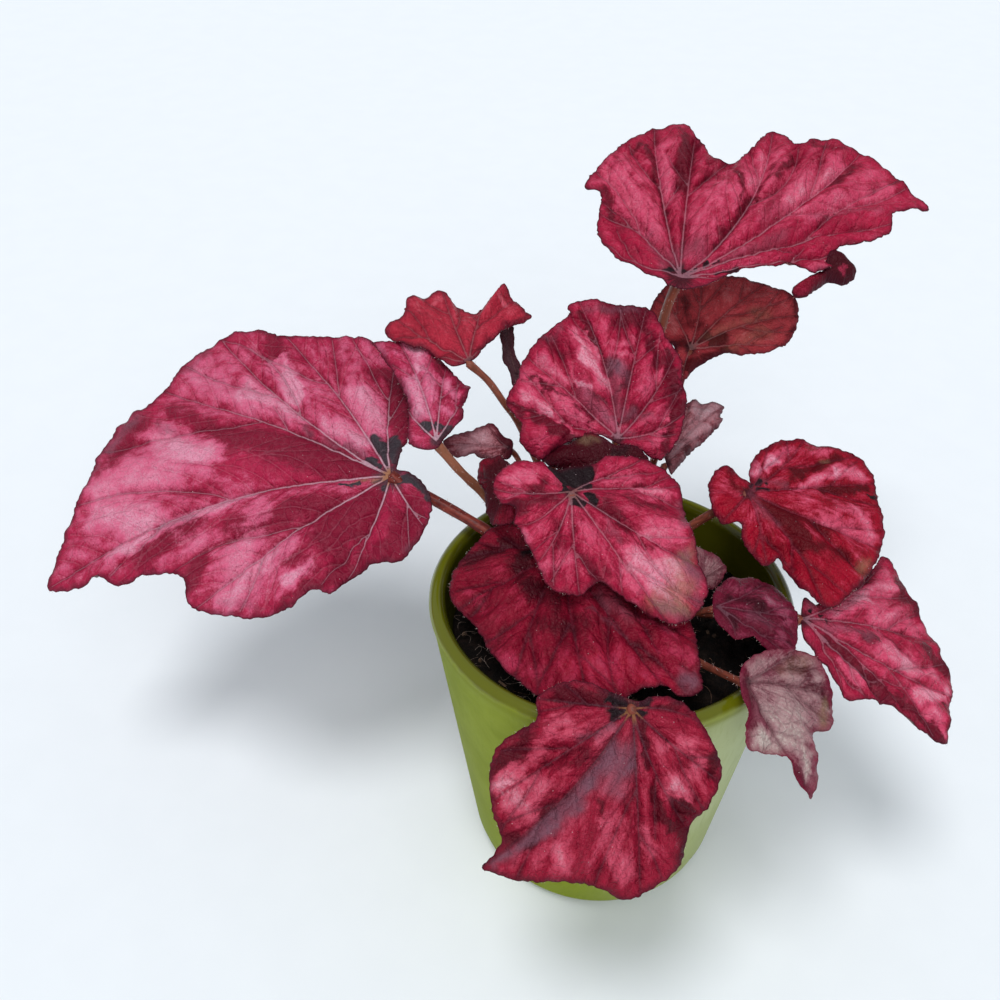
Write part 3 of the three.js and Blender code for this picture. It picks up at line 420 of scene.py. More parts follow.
        hub=[-9.5, 60.8, -11], veins=[], silver=[[-9, 65, -9, 68, 1.2, 0.9]], dusk=[], tan=[],
        deep=[[-6, 64, -12, 70, 9, 1.0]], heart=[], skin="wine",
        outline=[
            [-3, 63, -4], [-6, 60.5, -7], [-8, 58.5, -10], [-7.5, 54, -12.5], [-9.5, 49, -14],
            [-12.5, 46.5, -14.5], [-15.5, 48, -14.5], [-16, 51.5, -14], [-12.5, 57, -13],
            [-10.5, 62, -13], [-12, 67, -13], [-11, 71, -12], [-9.5, 73, -10], [-7.5, 72, -8],
            [-5, 69, -6], [-3, 66, -4],
        ],
    ),
    foot=[OUTER, 72], radius=2.2, via=[[9, 50, 128], [16, 75, 149], [20, 87, 171], [23, 88, 190]],
    silver=[
        [90, 63, 97, 23, 6.5, 0.35], [71, 70, 70, 43, 4.5, 0.4], [58, 30, 41, 26, 5.5, 0.25],
        [36, 58, 38, 81, 4.5, 0.4], [21, 64, 22, 96, 4.5, 0.4], [14, 62, 11, 104, 3.5, 0.4],
        [43, 48, 34, 47, 3.5, 0.25], [-9, 54, -5, 62, 2, 0.35], [30, 60, 22, 85, 12, 0.22],
        [50, 62, 45, 40, 6, 0.15], [112, 36, 126, 15, 3.5, -0.5], [8, 37, 2, 88, 4.5, -0.4],
        [-2, 23, -2, 34, 2, 0.2],
    ],
    deep=[
        [75, 72, 74, 30, 1.5, 0.6], [63, 78, 64, 46, 3.5, 0.65], [61, 62, 60, 73, 3, 0.4],
        [52, 69, 52, 49, 3.5, 0.3], [42, 59, 36, 48, 1.5, 0.5], [34, 74, 27, 23, 1.5, 0.55],
        [32, 85, 31, 69, 1.5, 0.5], [20, 102, 19, 86, 2, 0.6], [31, 100, 25, 105, 2, 0.4],
        [80, 72, 78, 73, 1.5, 0.6], [98, 54, 107, 39, 2, 0.6], [-6, 42, -7, 47, 2, 0.5],
    ],
    dusk=[
        [77, 10, 43, 16, 5.5, 0.4], [9, 21, 9, 48, 2.5, 0.35], [12, 63, 6, 93, 1.5, 0.35],
        [21, 47, 18, 61, 3.5, 0.2], [95, 22, 115, 9, 2.5, 0.35],
    ],
    heart=[[132, 6, 17, 6, 2, 0.8], [18, 13, 11, 18, 1.5, 0.8], [-4, 15, -4, 22, 2, 0.8]],
), dict(
    name="top_shaded", slot="leaf_dull_red", skin="russet_painted_light", pleat=0.6, at=[37, 107, 160], aim=[18, 6, 26],
    hub=[40, 16],
    outline=[
        [-147, 10, -2], [-122, 15, -5], [-96, 8, -4], [-41, 9, -3], [-18, 16, -3], [-20, 23, -3],
        [-15, 33, -4], [-8, 43, -6], [2, 51, -7], [10, 55, -5], [17, 53, -2], [27, 49, -3], [42, 44, -3],
        [61, 39, -2], [83, 34, -3], [109, 25, -2], [127, 17, -2], [151, 7, -1],
    ],
    veins=[[-133, -122], [-5, -11], [15, 6], [32, 27], [52, 61], [86, 91]], foot=[OUTER, 50],
    via=[[19, 64, 128], [32, 96, 146]], radius=1.8,
    silver=[
        [34, 41, 29, 42, 2.5, 0.35], [85, 20, 109, 11, 2, 0.3], [48, 33, 40, 36, 1, 0.35],
        [2, 45, -4, 42, 2, -0.7],
    ],
    deep=[
        [150, 8, 5, 14, 3.4, 1], [-130, 9, -20, 15, 3, 1], [30, 8, 10, 10, 3, 1],
        [72, 25, 77, 17, 2.5, 0.6], [69, 12, 40, 12, 3, 0.6], [14, 54, 6, 52, 1.5, 0.75],
        [1, 49, -10, 41, 1.5, 0.5], [32, 18, 27, 18, 2, 0.35],
    ],
    heart=[[150, 6, -170, 6, 1.5, 0.4]],
    tan=[[81, 31, 118, 16, 2.5, 0.6], [14, 10, 12, 39, 3.5, 0.35], [-14, 17, 1, 35, 3.5, 0.3]],
), dict(
    name="behind_right", slot="leaf_dull_red", skin="dull", at=[24, 56, 140], aim=[56, -3, 15],
    hub=[0, 18],
    outline=[
        [-129, 6, -1], [-43, 6, -2], [-12, 16, -3], [-8, 27, -3], [-5, 38, -4], [-4, 45, -2],
        [-1, 48, -3], [1, 54, -2], [9, 51, -3], [17, 43, -2], [26, 22, -2], [40, 9, -1],
    ],
    veins=[[0, -5], [9, 1], [15, 15]], foot=[INNER, 40], via=[[14, 40, 127]], radius=1.5,
    silver=[[0, 12, 4, 46, 12, 0.55]], deep=[[-10, 14, 5, 18, 3, 0.8]],
), dict(
    name="inner_left", slot="leaf_dull_red", skin="wine", at=[-34, 29, 148], aim=[149, -5, -27],
    hub=[10, 6],
    outline=[
        [-46, 12, -1], [-25, 21, -3], [-10, 20, -4], [2, 18, -4], [21, 13, -2], [50, 14, -4],
        [78, 16, -4], [107, 14, -2], [129, 8, -1],
    ],
    veins=[[1, -2], [64, 75]], foot=[OUTER, 200], via=[], radius=1.4, deep=[[-20, 8, 60, 10, 9, 0.9]],
), dict(
    name="curled_left", slot="leaf_dull_red", skin="dull", at=[-37, 57, 145], aim=[-167, 11, -53],
    hub=[0, 9],
    outline=[
        [-123, 3, 0], [-64, 5, -1], [-56, 11, -2], [-22, 16, -1], [-9, 23, -2], [-1, 25, -2],
        [12, 21, -2], [12, 14, -1], [24, 11, -1], [48, 6, 0], [101, 4, 0],
    ],
    veins=[[-27, -50], [-3, -1]], foot=[OUTER, 135], via=[[-28, 50, 130], [-34, 60, 139]], radius=1.3,
    silver=[[-20, 12, 5, 16, 4, 0.4]], deep=[[-60, 3, 100, 3, 4, 0.9]],
), dict(
    name="young", slot="leaf_silver", skin="silver", at=[33, 5, 126], aim=[-34, -23, 21], hub=[110, 6],
    outline=[
        [-99, 1, 0], [-24, 4, -1], [12, 6, -2], [60, 10, -2], [81, 11, -2], [115, 11, -1], [140, 13, -2],
        [145, 6, -1],
    ],
    veins=[[59, 71], [135, 114]], foot=[OUTER, 0], via=[], radius=1.1,
)]


# ---------- wiring nodes ----------
class Wiring:
    """Adds nodes to a tree and joins them, so that a material reads as a few lines."""

    def __init__(self, tree):
        self.tree = tree

    def add(self, kind, settings=None, **inputs):
        made = self.tree.nodes.new(kind)
        for key, value in (settings or {}).items():
            setattr(made, key, value)
        return self.give(made, **inputs)

    def give(self, node, **inputs):
        for key, value in inputs.items():
            self.feed(node.inputs[key.replace("_", " ")], value)
        return node

    def feed(self, socket, value):
        if isinstance(value, bpy.types.NodeSocket):
            self.tree.links.new(value, socket)
        elif isinstance(value, (tuple, list)) and socket.type == "RGBA" and len(value) == 3:
            socket.default_value = (*value, 1)
        else:
            socket.default_value = value

    def in_order(self, node, values):
        for socket, value in zip(node.inputs, values):
            self.feed(socket, value)
        return node.outputs[0]

    def math(self, work, *values, clamp=False):
        made = self.add("ShaderNodeMath", dict(operation=work, use_clamp=clamp))
        return self.in_order(made, values)

    def vector(self, work, *values):
        return self.in_order(self.add("ShaderNodeVectorMath", dict(operation=work)), values)

    def times(self, first, second):
        return self.math("MULTIPLY", first, second)

    def combine(self, x, y, z):
        return self.add("ShaderNodeCombineXYZ", X=x, Y=y, Z=z).outputs[0]

    def scaled(self, vector, by):
        made = self.add("ShaderNodeVectorMath", dict(operation="SCALE"))
        self.feed(made.inputs[0], vector)
        self.feed(made.inputs["Scale"], by)
        return made.outputs[0]

    def blend(self, share, first, second):
        made = self.add("ShaderNodeMix", dict(data_type="RGBA"))
        for index, value in ((0, share), (6, first), (7, second)):
            self.feed(made.inputs[index], value)
        return made.outputs[2]

    def step(self, value, low, high, start=0.0, end=1.0):
        """A smooth step from start to end as value goes from low to high."""
        made = self.add("ShaderNodeMapRange", dict(interpolation_type="SMOOTHSTEP"))
        return self.in_order(made, (value, low, high, start, end))

    def noise(self, at, scale, detail=3.0, roughness=0.55, distortion=0.0):
        made = self.add(
            "ShaderNodeTexNoise",
            Vector=at, Scale=scale, Detail=detail, Roughness=roughness, Distortion=distortion,
        )
        return made.outputs["Fac"]

    def cells(self, at, scale, feature="DISTANCE_TO_EDGE"):
        made = self.add("ShaderNodeTexVoronoi", dict(feature=feature), Vector=at, Scale=scale)
        return made.outputs["Distance"]

    def weigh(self, base, *parts):
        """The base plus each value's share, a noise counting from its middle."""
        total = base
        for value, share in parts:
            noisy = value.node.type == "TEX_NOISE" or value.name in ("Drift", "Blotches", "Specks")
            from_middle = self.math("SUBTRACT", value, 0.5) if noisy else value
            total = self.math("ADD", total, self.times(from_middle, share))
        return total

    def split(self, vector):
        return self.add("ShaderNodeSeparateXYZ", Vector=vector).outputs

    def attribute(self, name):
        return self.add("ShaderNodeAttribute", dict(attribute_name=name)).outputs["Vector"]

    def parts_of(self, name):
        """The three numbers that a point keeps under that name."""
        return self.split(self.attribute(name))[:3]

    def position(self, scale):
        return self.scaled(self.add("ShaderNodeTexCoord").outputs["Object"], scale)

    def bump(self, height, depth, strength):
        made = self.add("ShaderNodeBump", Height=height, Distance=depth, Strength=strength)
        return made.outputs["Normal"]


def effect(name, inputs, outputs):
    """An empty shader node group: its tree, its wiring, its input sockets and its output node."""
    tree = bpy.data.node_groups.new(name, "ShaderNodeTree")
    for side, sockets in (("INPUT", inputs), ("OUTPUT", outputs)):
        for label, kind, *default in sockets:
            made = tree.interface.new_socket(label, in_out=side, socket_type="NodeSocket" + kind)
            if default:
                made.default_value = default[0]
    wiring = Wiring(tree)
    return tree, wiring, tree.nodes.new("NodeGroupInput").outputs, tree.nodes.new("NodeGroupOutput")


def place(wiring, tree, **inputs):
    """The outputs of a node group, placed in a material."""
    return wiring.add("ShaderNodeGroup", dict(node_tree=tree), **inputs).outputs


def material(name):
    made = bpy.data.materials.new(name)
    made.use_nodes = True
    made.node_tree.nodes.clear()
    wiring = Wiring(made.node_tree)
    shader = wiring.add("ShaderNodeBsdfPrincipled")
    out = wiring.add("ShaderNodeOutputMaterial")
    wiring.tree.links.new(shader.outputs[0], out.inputs[0])
    return made, wiring, shader


# ---------- shared effects ----------
def make_mottle():
    """Soft blotches, fine specks and a slow drift of tone over a surface given in millimetres."""
    tree, w, given, out = effect(
        "mottle",
        [("At", "Vector"), ("Blotch", "Float", 8.0), ("Speck", "Float", 0.8)],
        [("Drift", "Float"), ("Blotches", "Float"), ("Specks", "Float")],
    )
    at = given["At"]
    per_blotch = w.math("DIVIDE", 1.0, given["Blotch"])
    per_speck = w.math("DIVIDE", 1.0, given["Speck"])
    w.give(
        out,
        Drift=w.noise(w.scaled(at, w.times(per_blotch, 0.28)), 1.0, 2),
        Blotches=w.noise(w.scaled(at, per_blotch), 1.0, 4, 0.6, 0.4),
        Specks=w.noise(w.scaled(at, per_speck), 1.0, 2, 0.7),
    )
    return tree


def make_vein_net():
    """The net of the finest veins: 1 on a vein, falling to 0 in the middle of a mesh."""
    tree, w, given, out = effect(
        "vein net",
        [("At", "Vector"), ("Mesh", "Float", 3.6)],
        [("Net", "Float"), ("Fine net", "Float")],
    )
    at = given["At"]
    wander = w.add("ShaderNodeTexNoise", Vector=at, Scale=0.35, Detail=2.0).outputs["Color"]
    bent = w.vector("ADD", at, w.scaled(w.vector("SUBTRACT", wander, (0.5, 0.5, 0.5)), 3.0))
    per_mesh = w.math("DIVIDE", 1.0, given["Mesh"])
    wide = w.cells(w.scaled(bent, per_mesh), 1.0)
    fine = w.cells(w.scaled(bent, w.times(per_mesh, 2.7)), 1.0)
    w.give(
        out, Net=w.step(wide, 0.02, 0.13, 1.0, 0.0), Fine_net=w.step(fine, 0.02, 0.2, 1.0, 0.0)
    )
    return tree


MOTTLE = make_mottle()
VEIN_NET = make_vein_net()


# ---------- materials ----------
def leaf_skin(
    name, reds, bloom, vein, silvering=0.0, depth=0.3, vein_strength=0.8, net=0.1, rough=0.42,
    hub_veins=0.85, hub_tone=(0.012, 0.005, 0.007),
    hem=0.6, hem_width=2.4, hem_tone=(0.055, 0.005, 0.014),
):
    """Upper side of a blade: three reds, clear to deep, and the pink and silver bloom on them, with
    painted light and painted shade in some of its strokes and along its main veins.
    """
    made, w, shader = material("leaf skin " + name)
    clear, mid, deep = reds
    pink, silver = bloom
    flat = w.attribute("flat")
    main, side, width = w.parts_of("veins")
    margin, stem, size = w.parts_of("reach")
    # tone: the silver, deep and dusk strokes; the silver and deep ones are partly painted light and
    # painted shade.
    bright, shade, dusk = w.parts_of("tone")
    heart, tan, tan_hub = w.parts_of("mark")
    drift, blotches, specks = place(w, MOTTLE, At=flat, Blotch=5.5, Speck=0.75)[:3]
    wide_net, fine_net = place(w, VEIN_NET, At=flat, Mesh=3.8)[:2]
    x, y, seed = w.split(flat)[:3]
    # Streaks that run out from the stalk.
    angle = w.math("ARCTAN2", y, w.math("ADD", x, 0.001))
    ray = w.combine(w.times(stem, 0.05), w.times(angle, 6.0), seed)
    streaks = w.noise(ray, 1.0, 3, 0.55, 0.3)
    fine_streaks = w.noise(w.scaled(ray, 3.4), 1.0, 3, 0.65, 0.4)

    # The red under the bloom, deeper in the streaks and in the deep strokes, which are partly painted
    # shade on the shaded folds.
    red = w.weigh(
        depth, (shade, 0.9), (drift, -0.45), (blotches, -0.35), (streaks, 0.65),
        (fine_streaks, 0.7), (specks, -0.2),
    )
    # Deeper red along each main vein: painted shade in its crease.
    red = w.math("ADD", red, w.step(main, 0.0, 2.2, 0.16, 0.0))
    colour = w.blend(w.step(red, -0.55, 0.25), clear, mid)
    colour = w.blend(w.step(red, 0.1, 0.95), colour, deep)
    # Silvery bloom on what stands up between the veins, and in the silver strokes, which are partly
    # painted light, and painted shade where their strength is negative.
    raised = w.step(w.math("MINIMUM", main, w.times(side, 1.6)), 0.2, 4.5)
    bright = w.weigh(
        silvering, (bright, 0.82), (shade, -0.5), (drift, 0.45), (blotches, 0.5),
        (streaks, -0.45), (fine_streaks, -0.75), (specks, 0.45),
    )
    bright = w.math("ADD", bright, w.times(raised, 0.16))
    bright = w.math("SUBTRACT", bright, w.step(margin, 0.8, 6.0, 0.14, 0.0), clamp=True)
    colour = w.blend(w.step(bright, 0.02, 0.5), colour, pink)
    grains = w.step(w.weigh(0.5, (specks, 1.0), (fine_net, 0.1)), 0.3, 0.62, 0.35, 1.0)
    colour = w.blend(w.times(w.step(bright, 0.38, 1.1), grains), colour, silver)
    # The finest veins.
    finest = w.times(wide_net, w.step(bright, 0.0, 0.7, net * 0.3, net))
    colour = w.blend(finest, colour, vein)
    # Dusky patches along the veins, olive and tan ones, and the dark patch round the stalk.
    dusky = w.times(dusk, w.step(blotches, 0.3, 0.6, 0.7, 1.0))
    colour = w.blend(dusky, colour, (0.17, 0.065, 0.095))
    mixed = w.times(tan, w.step(blotches, 0.36, 0.62, 0.95, 0.45))
    colour = w.blend(mixed, colour, (0.27, 0.17, 0.10))
    outward = w.math("DIVIDE", stem, size)
    hub = w.weigh(0.0, (outward, 1.0), (streaks, 0.12))
    hub = w.math("MAXIMUM", w.step(hub, 0.03, 0.085, 0.85, 0.0), w.step(heart, 0.15, 0.6))
    colour = w.blend(hub, colour, hub_tone)
    # Main and side veins: a pale line with a thin dark edge along the main ones, which is painted
    # shade in their creases.
    edge = w.step(main, width, w.math("ADD", width, 0.7), 0.32, 0.0)
    colour = w.blend(edge, colour, (0.06, 0.008, 0.018))
    line = w.step(main, w.times(width, 0.35), width, 1.0, 0.0)
    line = w.times(line, w.step(outward, 0.1, 0.5, vein_strength * hub_veins, vein_strength))
    line = w.times(line, w.step(width, 0.16, 0.44, 0.35, 1.0))
    near = w.math("MAXIMUM", w.times(tan_hub, w.step(stem, 2.0, 6.0, 0.9, 0.0)), tan)
    colour = w.blend(line, colour, w.blend(near, vein, (0.36, 0.15, 0.05)))
    thin = w.step(side, 0.05, 0.32, vein_strength * 0.3, 0.0)
    thin = w.times(thin, w.step(w.math("ADD", specks, bright), 0.3, 1.1, 0.3, 1.0))
    colour = w.blend(thin, colour, vein)
    # Pale specks, partly dust and partly painted glints on hairs, and the margin's dark hem.
    dust_and_glints = w.cells(w.scaled(flat, 0.30), 1.0, "F1")
    colour = w.blend(w.step(dust_and_glints, 0.025, 0.05, 0.7, 0.0), colour, (0.66, 0.50, 0.52))
    ragged = w.weigh(0.0, (margin, 1.0), (blotches, 2.4))
    rim = w.step(margin, 0.2, 0.7, 0.8, 0.0)
    rim = w.math("MAXIMUM", w.step(ragged, 0.2, hem_width, hem, 0.0), rim)
    colour = w.blend(rim, colour, hem_tone)

    height = w.weigh(
        0.0, (wide_net, -0.5), (fine_net, -0.35), (specks, 0.6), (blotches, 2.2),
        (w.step(side, 0.0, 0.9, 1.0, 0.0), -0.8),
    )
    w.give(
        shader, Base_Color=colour, Roughness=w.weigh(rough, (specks, 0.25), (blotches, 0.15)),
        Specular_IOR_Level=0.11, Normal=w.bump(height, 0.0004, 0.9),
    )
    return made


def leaf_back():
    """Underside of a blade: dull red between raised, paler veins."""
    made, w, shader = material("leaf underside")
    flat = w.attribute("flat")
    main, side, width = w.parts_of("veins")
    margin = w.parts_of("reach")[0]
    drift, blotches, specks = place(w, MOTTLE, At=flat, Blotch=7.0, Speck=0.6)[:3]
    wide_net = place(w, VEIN_NET, At=flat, Mesh=3.4)[0]
    colour = w.blend(w.step(blotches, 0.3, 0.7), (0.115, 0.022, 0.028), (0.20, 0.055, 0.06))
    colour = w.blend(w.step(drift, 0.4, 0.7, 0.0, 0.5), colour, (0.22, 0.10, 0.12))
    colour = w.blend(w.times(wide_net, 0.35), colour, (0.34, 0.09, 0.10))
    colour = w.blend(w.step(side, 0.2, 0.7, 0.6, 0.0), colour, (0.36, 0.11, 0.11))
    line = w.step(main, w.times(width, 0.8), w.times(width, 2.0), 0.9, 0.0)
    colour = w.blend(line, colour, (0.42, 0.17, 0.13))
    colour = w.blend(w.step(margin, 0.2, 1.6, 0.7, 0.0), colour, (0.06, 0.01, 0.018))
    height = w.math("ADD", wide_net, w.times(specks, 0.4))
    height = w.math("ADD", height, w.step(side, 0.0, 0.8, 1.0, 0.0))
    w.give(
        shader, Base_Color=colour, Roughness=w.step(specks, 0.2, 0.8, 0.45, 0.62),
        Specular_IOR_Level=0.35, Normal=w.bump(height, 0.0003, 0.7),
    )
    return made


def stalk_skin():
    """Leaf stalks: red-brown, streaked along their length, paler flecks."""
    made, w, shader = material("leaf stalk")
    along, around, tone = w.parts_of("stalk")
    streaks = w.noise(w.combine(w.times(along, 0.07), around, tone), 5.0, 3)
    flecks = w.noise(w.combine(w.times(along, 0.5), around, tone), 3.0, 2)
    colour = w.blend(w.step(streaks, 0.35, 0.65), (0.09, 0.011, 0.010), (0.21, 0.034, 0.022))
    colour = w.blend(w.step(tone, 0.0, 1.0), colour, (0.36, 0.15, 0.08))
    colour = w.blend(w.step(flecks, 0.64, 0.76, 0.0, 0.4), colour, (0.46, 0.26, 0.18))
    w.give(
        shader, Base_Color=colour, Roughness=w.step(streaks, 0.3, 0.7, 0.35, 0.5),
        Specular_IOR_Level=0.25, Normal=w.bump(streaks, 0.0004, 0.6),
    )
    return made


def hair_skin():
    """Hairs: pale, some of them reddish."""
    made, w, shader = material("plant hairs")
    tone = w.noise(w.position(400.0), 1.0, 1)
    colour = w.blend(w.step(tone, 0.35, 0.65), (0.45, 0.22, 0.2), (0.78, 0.66, 0.62))
    w.give(shader, Base_Color=colour, Roughness=0.5)
    return made


def pot_glaze():
    """Green glaze: satin on the wall, pooled dark and glossy on the lip, darker inside. The wall is
    paler on its right side: painted light.
    """
    made, w, shader = material("green glaze")
    top = POT["height"]
    at = w.position(PER_METRE)
    x, y, z = w.split(at)[:3]
    drift, blotches, specks = place(w, MOTTLE, At=at, Blotch=16.0, Speck=0.9)[:3]
    level = w.math("ADD", z, w.times(w.math("SUBTRACT", blotches, 0.5), 3.0))
    colour = w.blend(w.step(blotches, 0.3, 0.7), (0.205, 0.250, 0.012), (0.250, 0.300, 0.026))
    colour = w.blend(w.step(z, 2.0, 60.0, 0.6, 0.0), colour, (0.225, 0.28, 0.020))
    # Paler towards the right side of the wall: painted light.
    pale = w.times(w.step(x, -14.0, 42.0), w.step(drift, 0.3, 0.7, 0.95, 0.6))
    colour = w.blend(pale, colour, (0.44, 0.49, 0.27))
    runs = w.noise(w.scaled(w.combine(x, y, w.times(z, 0.12)), 0.5), 1.0, 3, 0.6)
    colour = w.blend(w.step(runs, 0.5, 0.75, 0.0, 0.2), colour, (0.15, 0.195, 0.012))
    fleck = w.step(specks, 0.66, 0.74, 0.0, 0.25)
    colour = w.blend(fleck, colour, (0.12, 0.13, 0.03))
    below = w.times(w.step(level, top - 9.0, top - 3.5), 0.7)
    colour = w.blend(below, colour, (0.19, 0.22, 0.012))
    lip = w.step(level, top - 2.6, top - 0.9)
    colour = w.blend(lip, colour, (0.105, 0.112, 0.003))
    # Darker inside the pot.
    out = w.math("SQRT", w.math("ADD", w.times(x, x), w.times(y, y)))
    wall = w.weigh(POT["foot"], (z, (POT["rim"] - POT["foot"]) / top))
    inner = w.step(w.math("SUBTRACT", wall, out), POT["wall"] * 0.55, POT["wall"] * 0.75)
    inner = w.times(inner, w.step(z, POT["floor"] - 2.0, POT["floor"]))
    colour = w.blend(inner, colour, (0.055, 0.055, 0.002))
    height = w.math("ADD", blotches, w.times(specks, 0.12))
    w.give(
        shader, Base_Color=colour, Roughness=w.step(level, top - 4.0, top - 1.0, 0.55, 0.2),
        Coat_Weight=w.step(level, top - 3.0, top - 1.0, 0.0, 0.7), Coat_Roughness=0.08,
        Specular_IOR_Level=0.07, Normal=w.bump(height, 0.0009, 0.35),
    )
    return made


def peat():
    """Damp peat: near black, with brown fibres."""
    made, w, shader = material("peat")
    blotches, specks = place(w, MOTTLE, At=w.position(PER_METRE), Blotch=3.0, Speck=0.5)[1:3]
    colour = w.blend(w.step(blotches, 0.4, 0.7), (0.003, 0.002, 0.0018), (0.014, 0.008, 0.006))
    colour = w.blend(w.step(specks, 0.64, 0.76, 0.0, 0.4), colour, (0.08, 0.045, 0.03))
    height = w.math("ADD", blotches, w.times(specks, 0.5))
    w.give(
        shader, Base_Color=colour, Roughness=w.step(specks, 0.2, 0.8, 0.55, 0.9),
        Specular_IOR_Level=0.12, Normal=w.bump(height, 0.0012, 1.0),
    )
    return made


def plain_grain(name, dark, light, grain, rough):
    """Bark, scales, roots and crown: two tones in a grain of that size in millimetres."""
    made, w, shader = material(name)
    mottle = place(w, MOTTLE, At=w.position(PER_METRE), Blotch=grain, Speck=grain * 0.2)
    blotches, specks = mottle[1:3]
    w.give(
        shader, Base_Color=w.blend(w.step(blotches, 0.35, 0.65), dark, light),
        Roughness=w.step(specks, 0.2, 0.8, rough - 0.1, rough + 0.1),
        Normal=w.bump(specks, 0.0003, 0.8),
    )
    return made


LEAF_TONES = dict(
    silvered=dict(
        reds=[(0.53, 0.026, 0.082), (0.40, 0.015, 0.060), (0.20, 0.006, 0.027)],
        bloom=[(0.60, 0.10, 0.20), (0.67, 0.27, 0.38)], vein=(0.54, 0.32, 0.39),
        silvering=0.13, vein_strength=0.55, hub_veins=1.5, hub_tone=(0.045, 0.034, 0.042),
    ),
    crimson=dict(
        reds=[(0.53, 0.015, 0.058), (0.39, 0.010, 0.046), (0.12, 0.003, 0.014)],
        bloom=[(0.58, 0.062, 0.135), (0.70, 0.27, 0.36)], vein=(0.58, 0.27, 0.34),
        silvering=0.08, vein_strength=0.42, hem=0.45,
    ),
    garnet=dict(
        reds=[(0.44, 0.015, 0.045), (0.30, 0.008, 0.031), (0.085, 0.003, 0.010)],
        bloom=[(0.50, 0.06, 0.11), (0.62, 0.24, 0.31)], vein=(0.085, 0.035, 0.048),
        silvering=0.03, vein_strength=0.65,
    ),
    wine=dict(
        reds=[(0.40, 0.004, 0.022), (0.22, 0.0035, 0.020), (0.05, 0.0015, 0.006)],
        bloom=[(0.37, 0.022, 0.062), (0.46, 0.12, 0.18)], vein=(0.075, 0.012, 0.022),
        silvering=-0.02, vein_strength=0.6, hem=0.4,
    ),
    scarlet=dict(
        reds=[(0.54, 0.034, 0.056), (0.41, 0.020, 0.044), (0.14, 0.004, 0.012)],
        bloom=[(0.54, 0.072, 0.11), (0.58, 0.16, 0.24)], vein=(0.36, 0.16, 0.17),
        vein_strength=0.5, net=0.03,
    ),
    ruby=dict(
        reds=[(0.46, 0.004, 0.024), (0.31, 0.0015, 0.017), (0.09, 0.001, 0.005)],
        bloom=[(0.56, 0.065, 0.13), (0.70, 0.28, 0.38)], vein=(0.16, 0.03, 0.05),
        silvering=0.05, vein_strength=0.5, net=0.04,
    ),
    mauve=dict(
        reds=[(0.20, 0.007, 0.032), (0.13, 0.004, 0.021), (0.035, 0.001, 0.006)],
        bloom=[(0.24, 0.030, 0.068), (0.40, 0.19, 0.24)], vein=(0.28, 0.13, 0.17),
        silvering=0.02, vein_strength=0.4, net=0.12, hem_tone=(0.13, 0.006, 0.024),
    ),
    silver=dict(
        reds=[(0.27, 0.05, 0.088), (0.21, 0.055, 0.08), (0.07, 0.006, 0.014)],
        bloom=[(0.33, 0.18, 0.19), (0.50, 0.42, 0.38)], vein=(0.12, 0.055, 0.06),
        silvering=0.3, vein_strength=0.5, net=0.3, hem_width=3.2, hem_tone=(0.17, 0.008, 0.032),
    ),
    # A brighter copy of the dull red for the leaf in the shade of the one above: painted light shining
    # through it.
    russet_painted_light=dict(
        reds=[(0.62, 0.050, 0.068), (0.46, 0.044, 0.058), (0.10, 0.004, 0.008)],
        bloom=[(0.55, 0.13, 0.14), (0.60, 0.30, 0.30)], vein=(0.55, 0.29, 0.28),
        depth=0.15, vein_strength=0.35, net=0.04,
    ),
    dull=dict(
        reds=[(0.34, 0.055, 0.075), (0.25, 0.042, 0.058), (0.07, 0.008, 0.014)],
        bloom=[(0.40, 0.17, 0.20), (0.54, 0.34, 0.38)], vein=(0.36, 0.20, 0.22),
        vein_strength=0.3, silvering=0.26, net=0.05,
    ),
    withered=dict(
        reds=[(0.11, 0.05, 0.055), (0.08, 0.035, 0.042), (0.03, 0.014, 0.018)],
        bloom=[(0.14, 0.09, 0.085), (0.2, 0.16, 0.15)], vein=(0.15, 0.10, 0.08),
        vein_strength=0.3, net=0.3, rough=0.6,
    ),
)
SKINS = {name: leaf_skin(name, **tones) for name, tones in LEAF_TONES.items()}
LEAF_BACK = leaf_back()
STALK = stalk_skin()
HAIR = hair_skin()
GLAZE = pot_glaze()
PEAT = peat()
BARK = plain_grain("bark chip", (0.03, 0.016, 0.01), (0.12, 0.065, 0.035), 1.4, 0.75)
ROOT = plain_grain("root hair", (0.16, 0.10, 0.075), (0.42, 0.33, 0.28), 2.0, 0.6)
CROWN_SKIN = plain_grain("crown skin", (0.05, 0.02, 0.014), (0.20, 0.09, 0.055), 2.6, 0.65)
FELT = plain_grain("brown scale", (0.07, 0.03, 0.02), (0.25, 0.13, 0.08), 1.6, 0.7)


# ---------- shapes ----------
def linked(name, data):
    made = bpy.data.objects.new(name, data)
    bpy.context.scene.collection.objects.link(made)
    return made


def piece(name, points, faces, skins, face_skin=None, smooth=True):
    """A mesh object at the origin, from points in millimetres."""
    mesh = bpy.data.meshes.new(name)
    mesh.from_pydata((np.asarray(points) * MM).tolist(), [], faces)
    for skin in skins:
        mesh.materials.append(skin)
    if face_skin is not None:
        mesh.polygons.foreach_set("material_index", np.asarray(face_skin, dtype=np.int32))
    mesh.polygons.foreach_set("use_smooth", np.full(len(mesh.polygons), smooth))
    mesh.update()
    return linked(name, mesh)


def note(made, name, values):
    """Keeps three numbers for each point, for the materials."""
    layer = made.data.attributes.new(name, "FLOAT_VECTOR", "POINT")
    layer.data.foreach_set("vector", np.asarray(values, dtype=np.float32).ravel())


def belongs(made, slot, *nodes):
    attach(made, "root")
    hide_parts(*nodes)


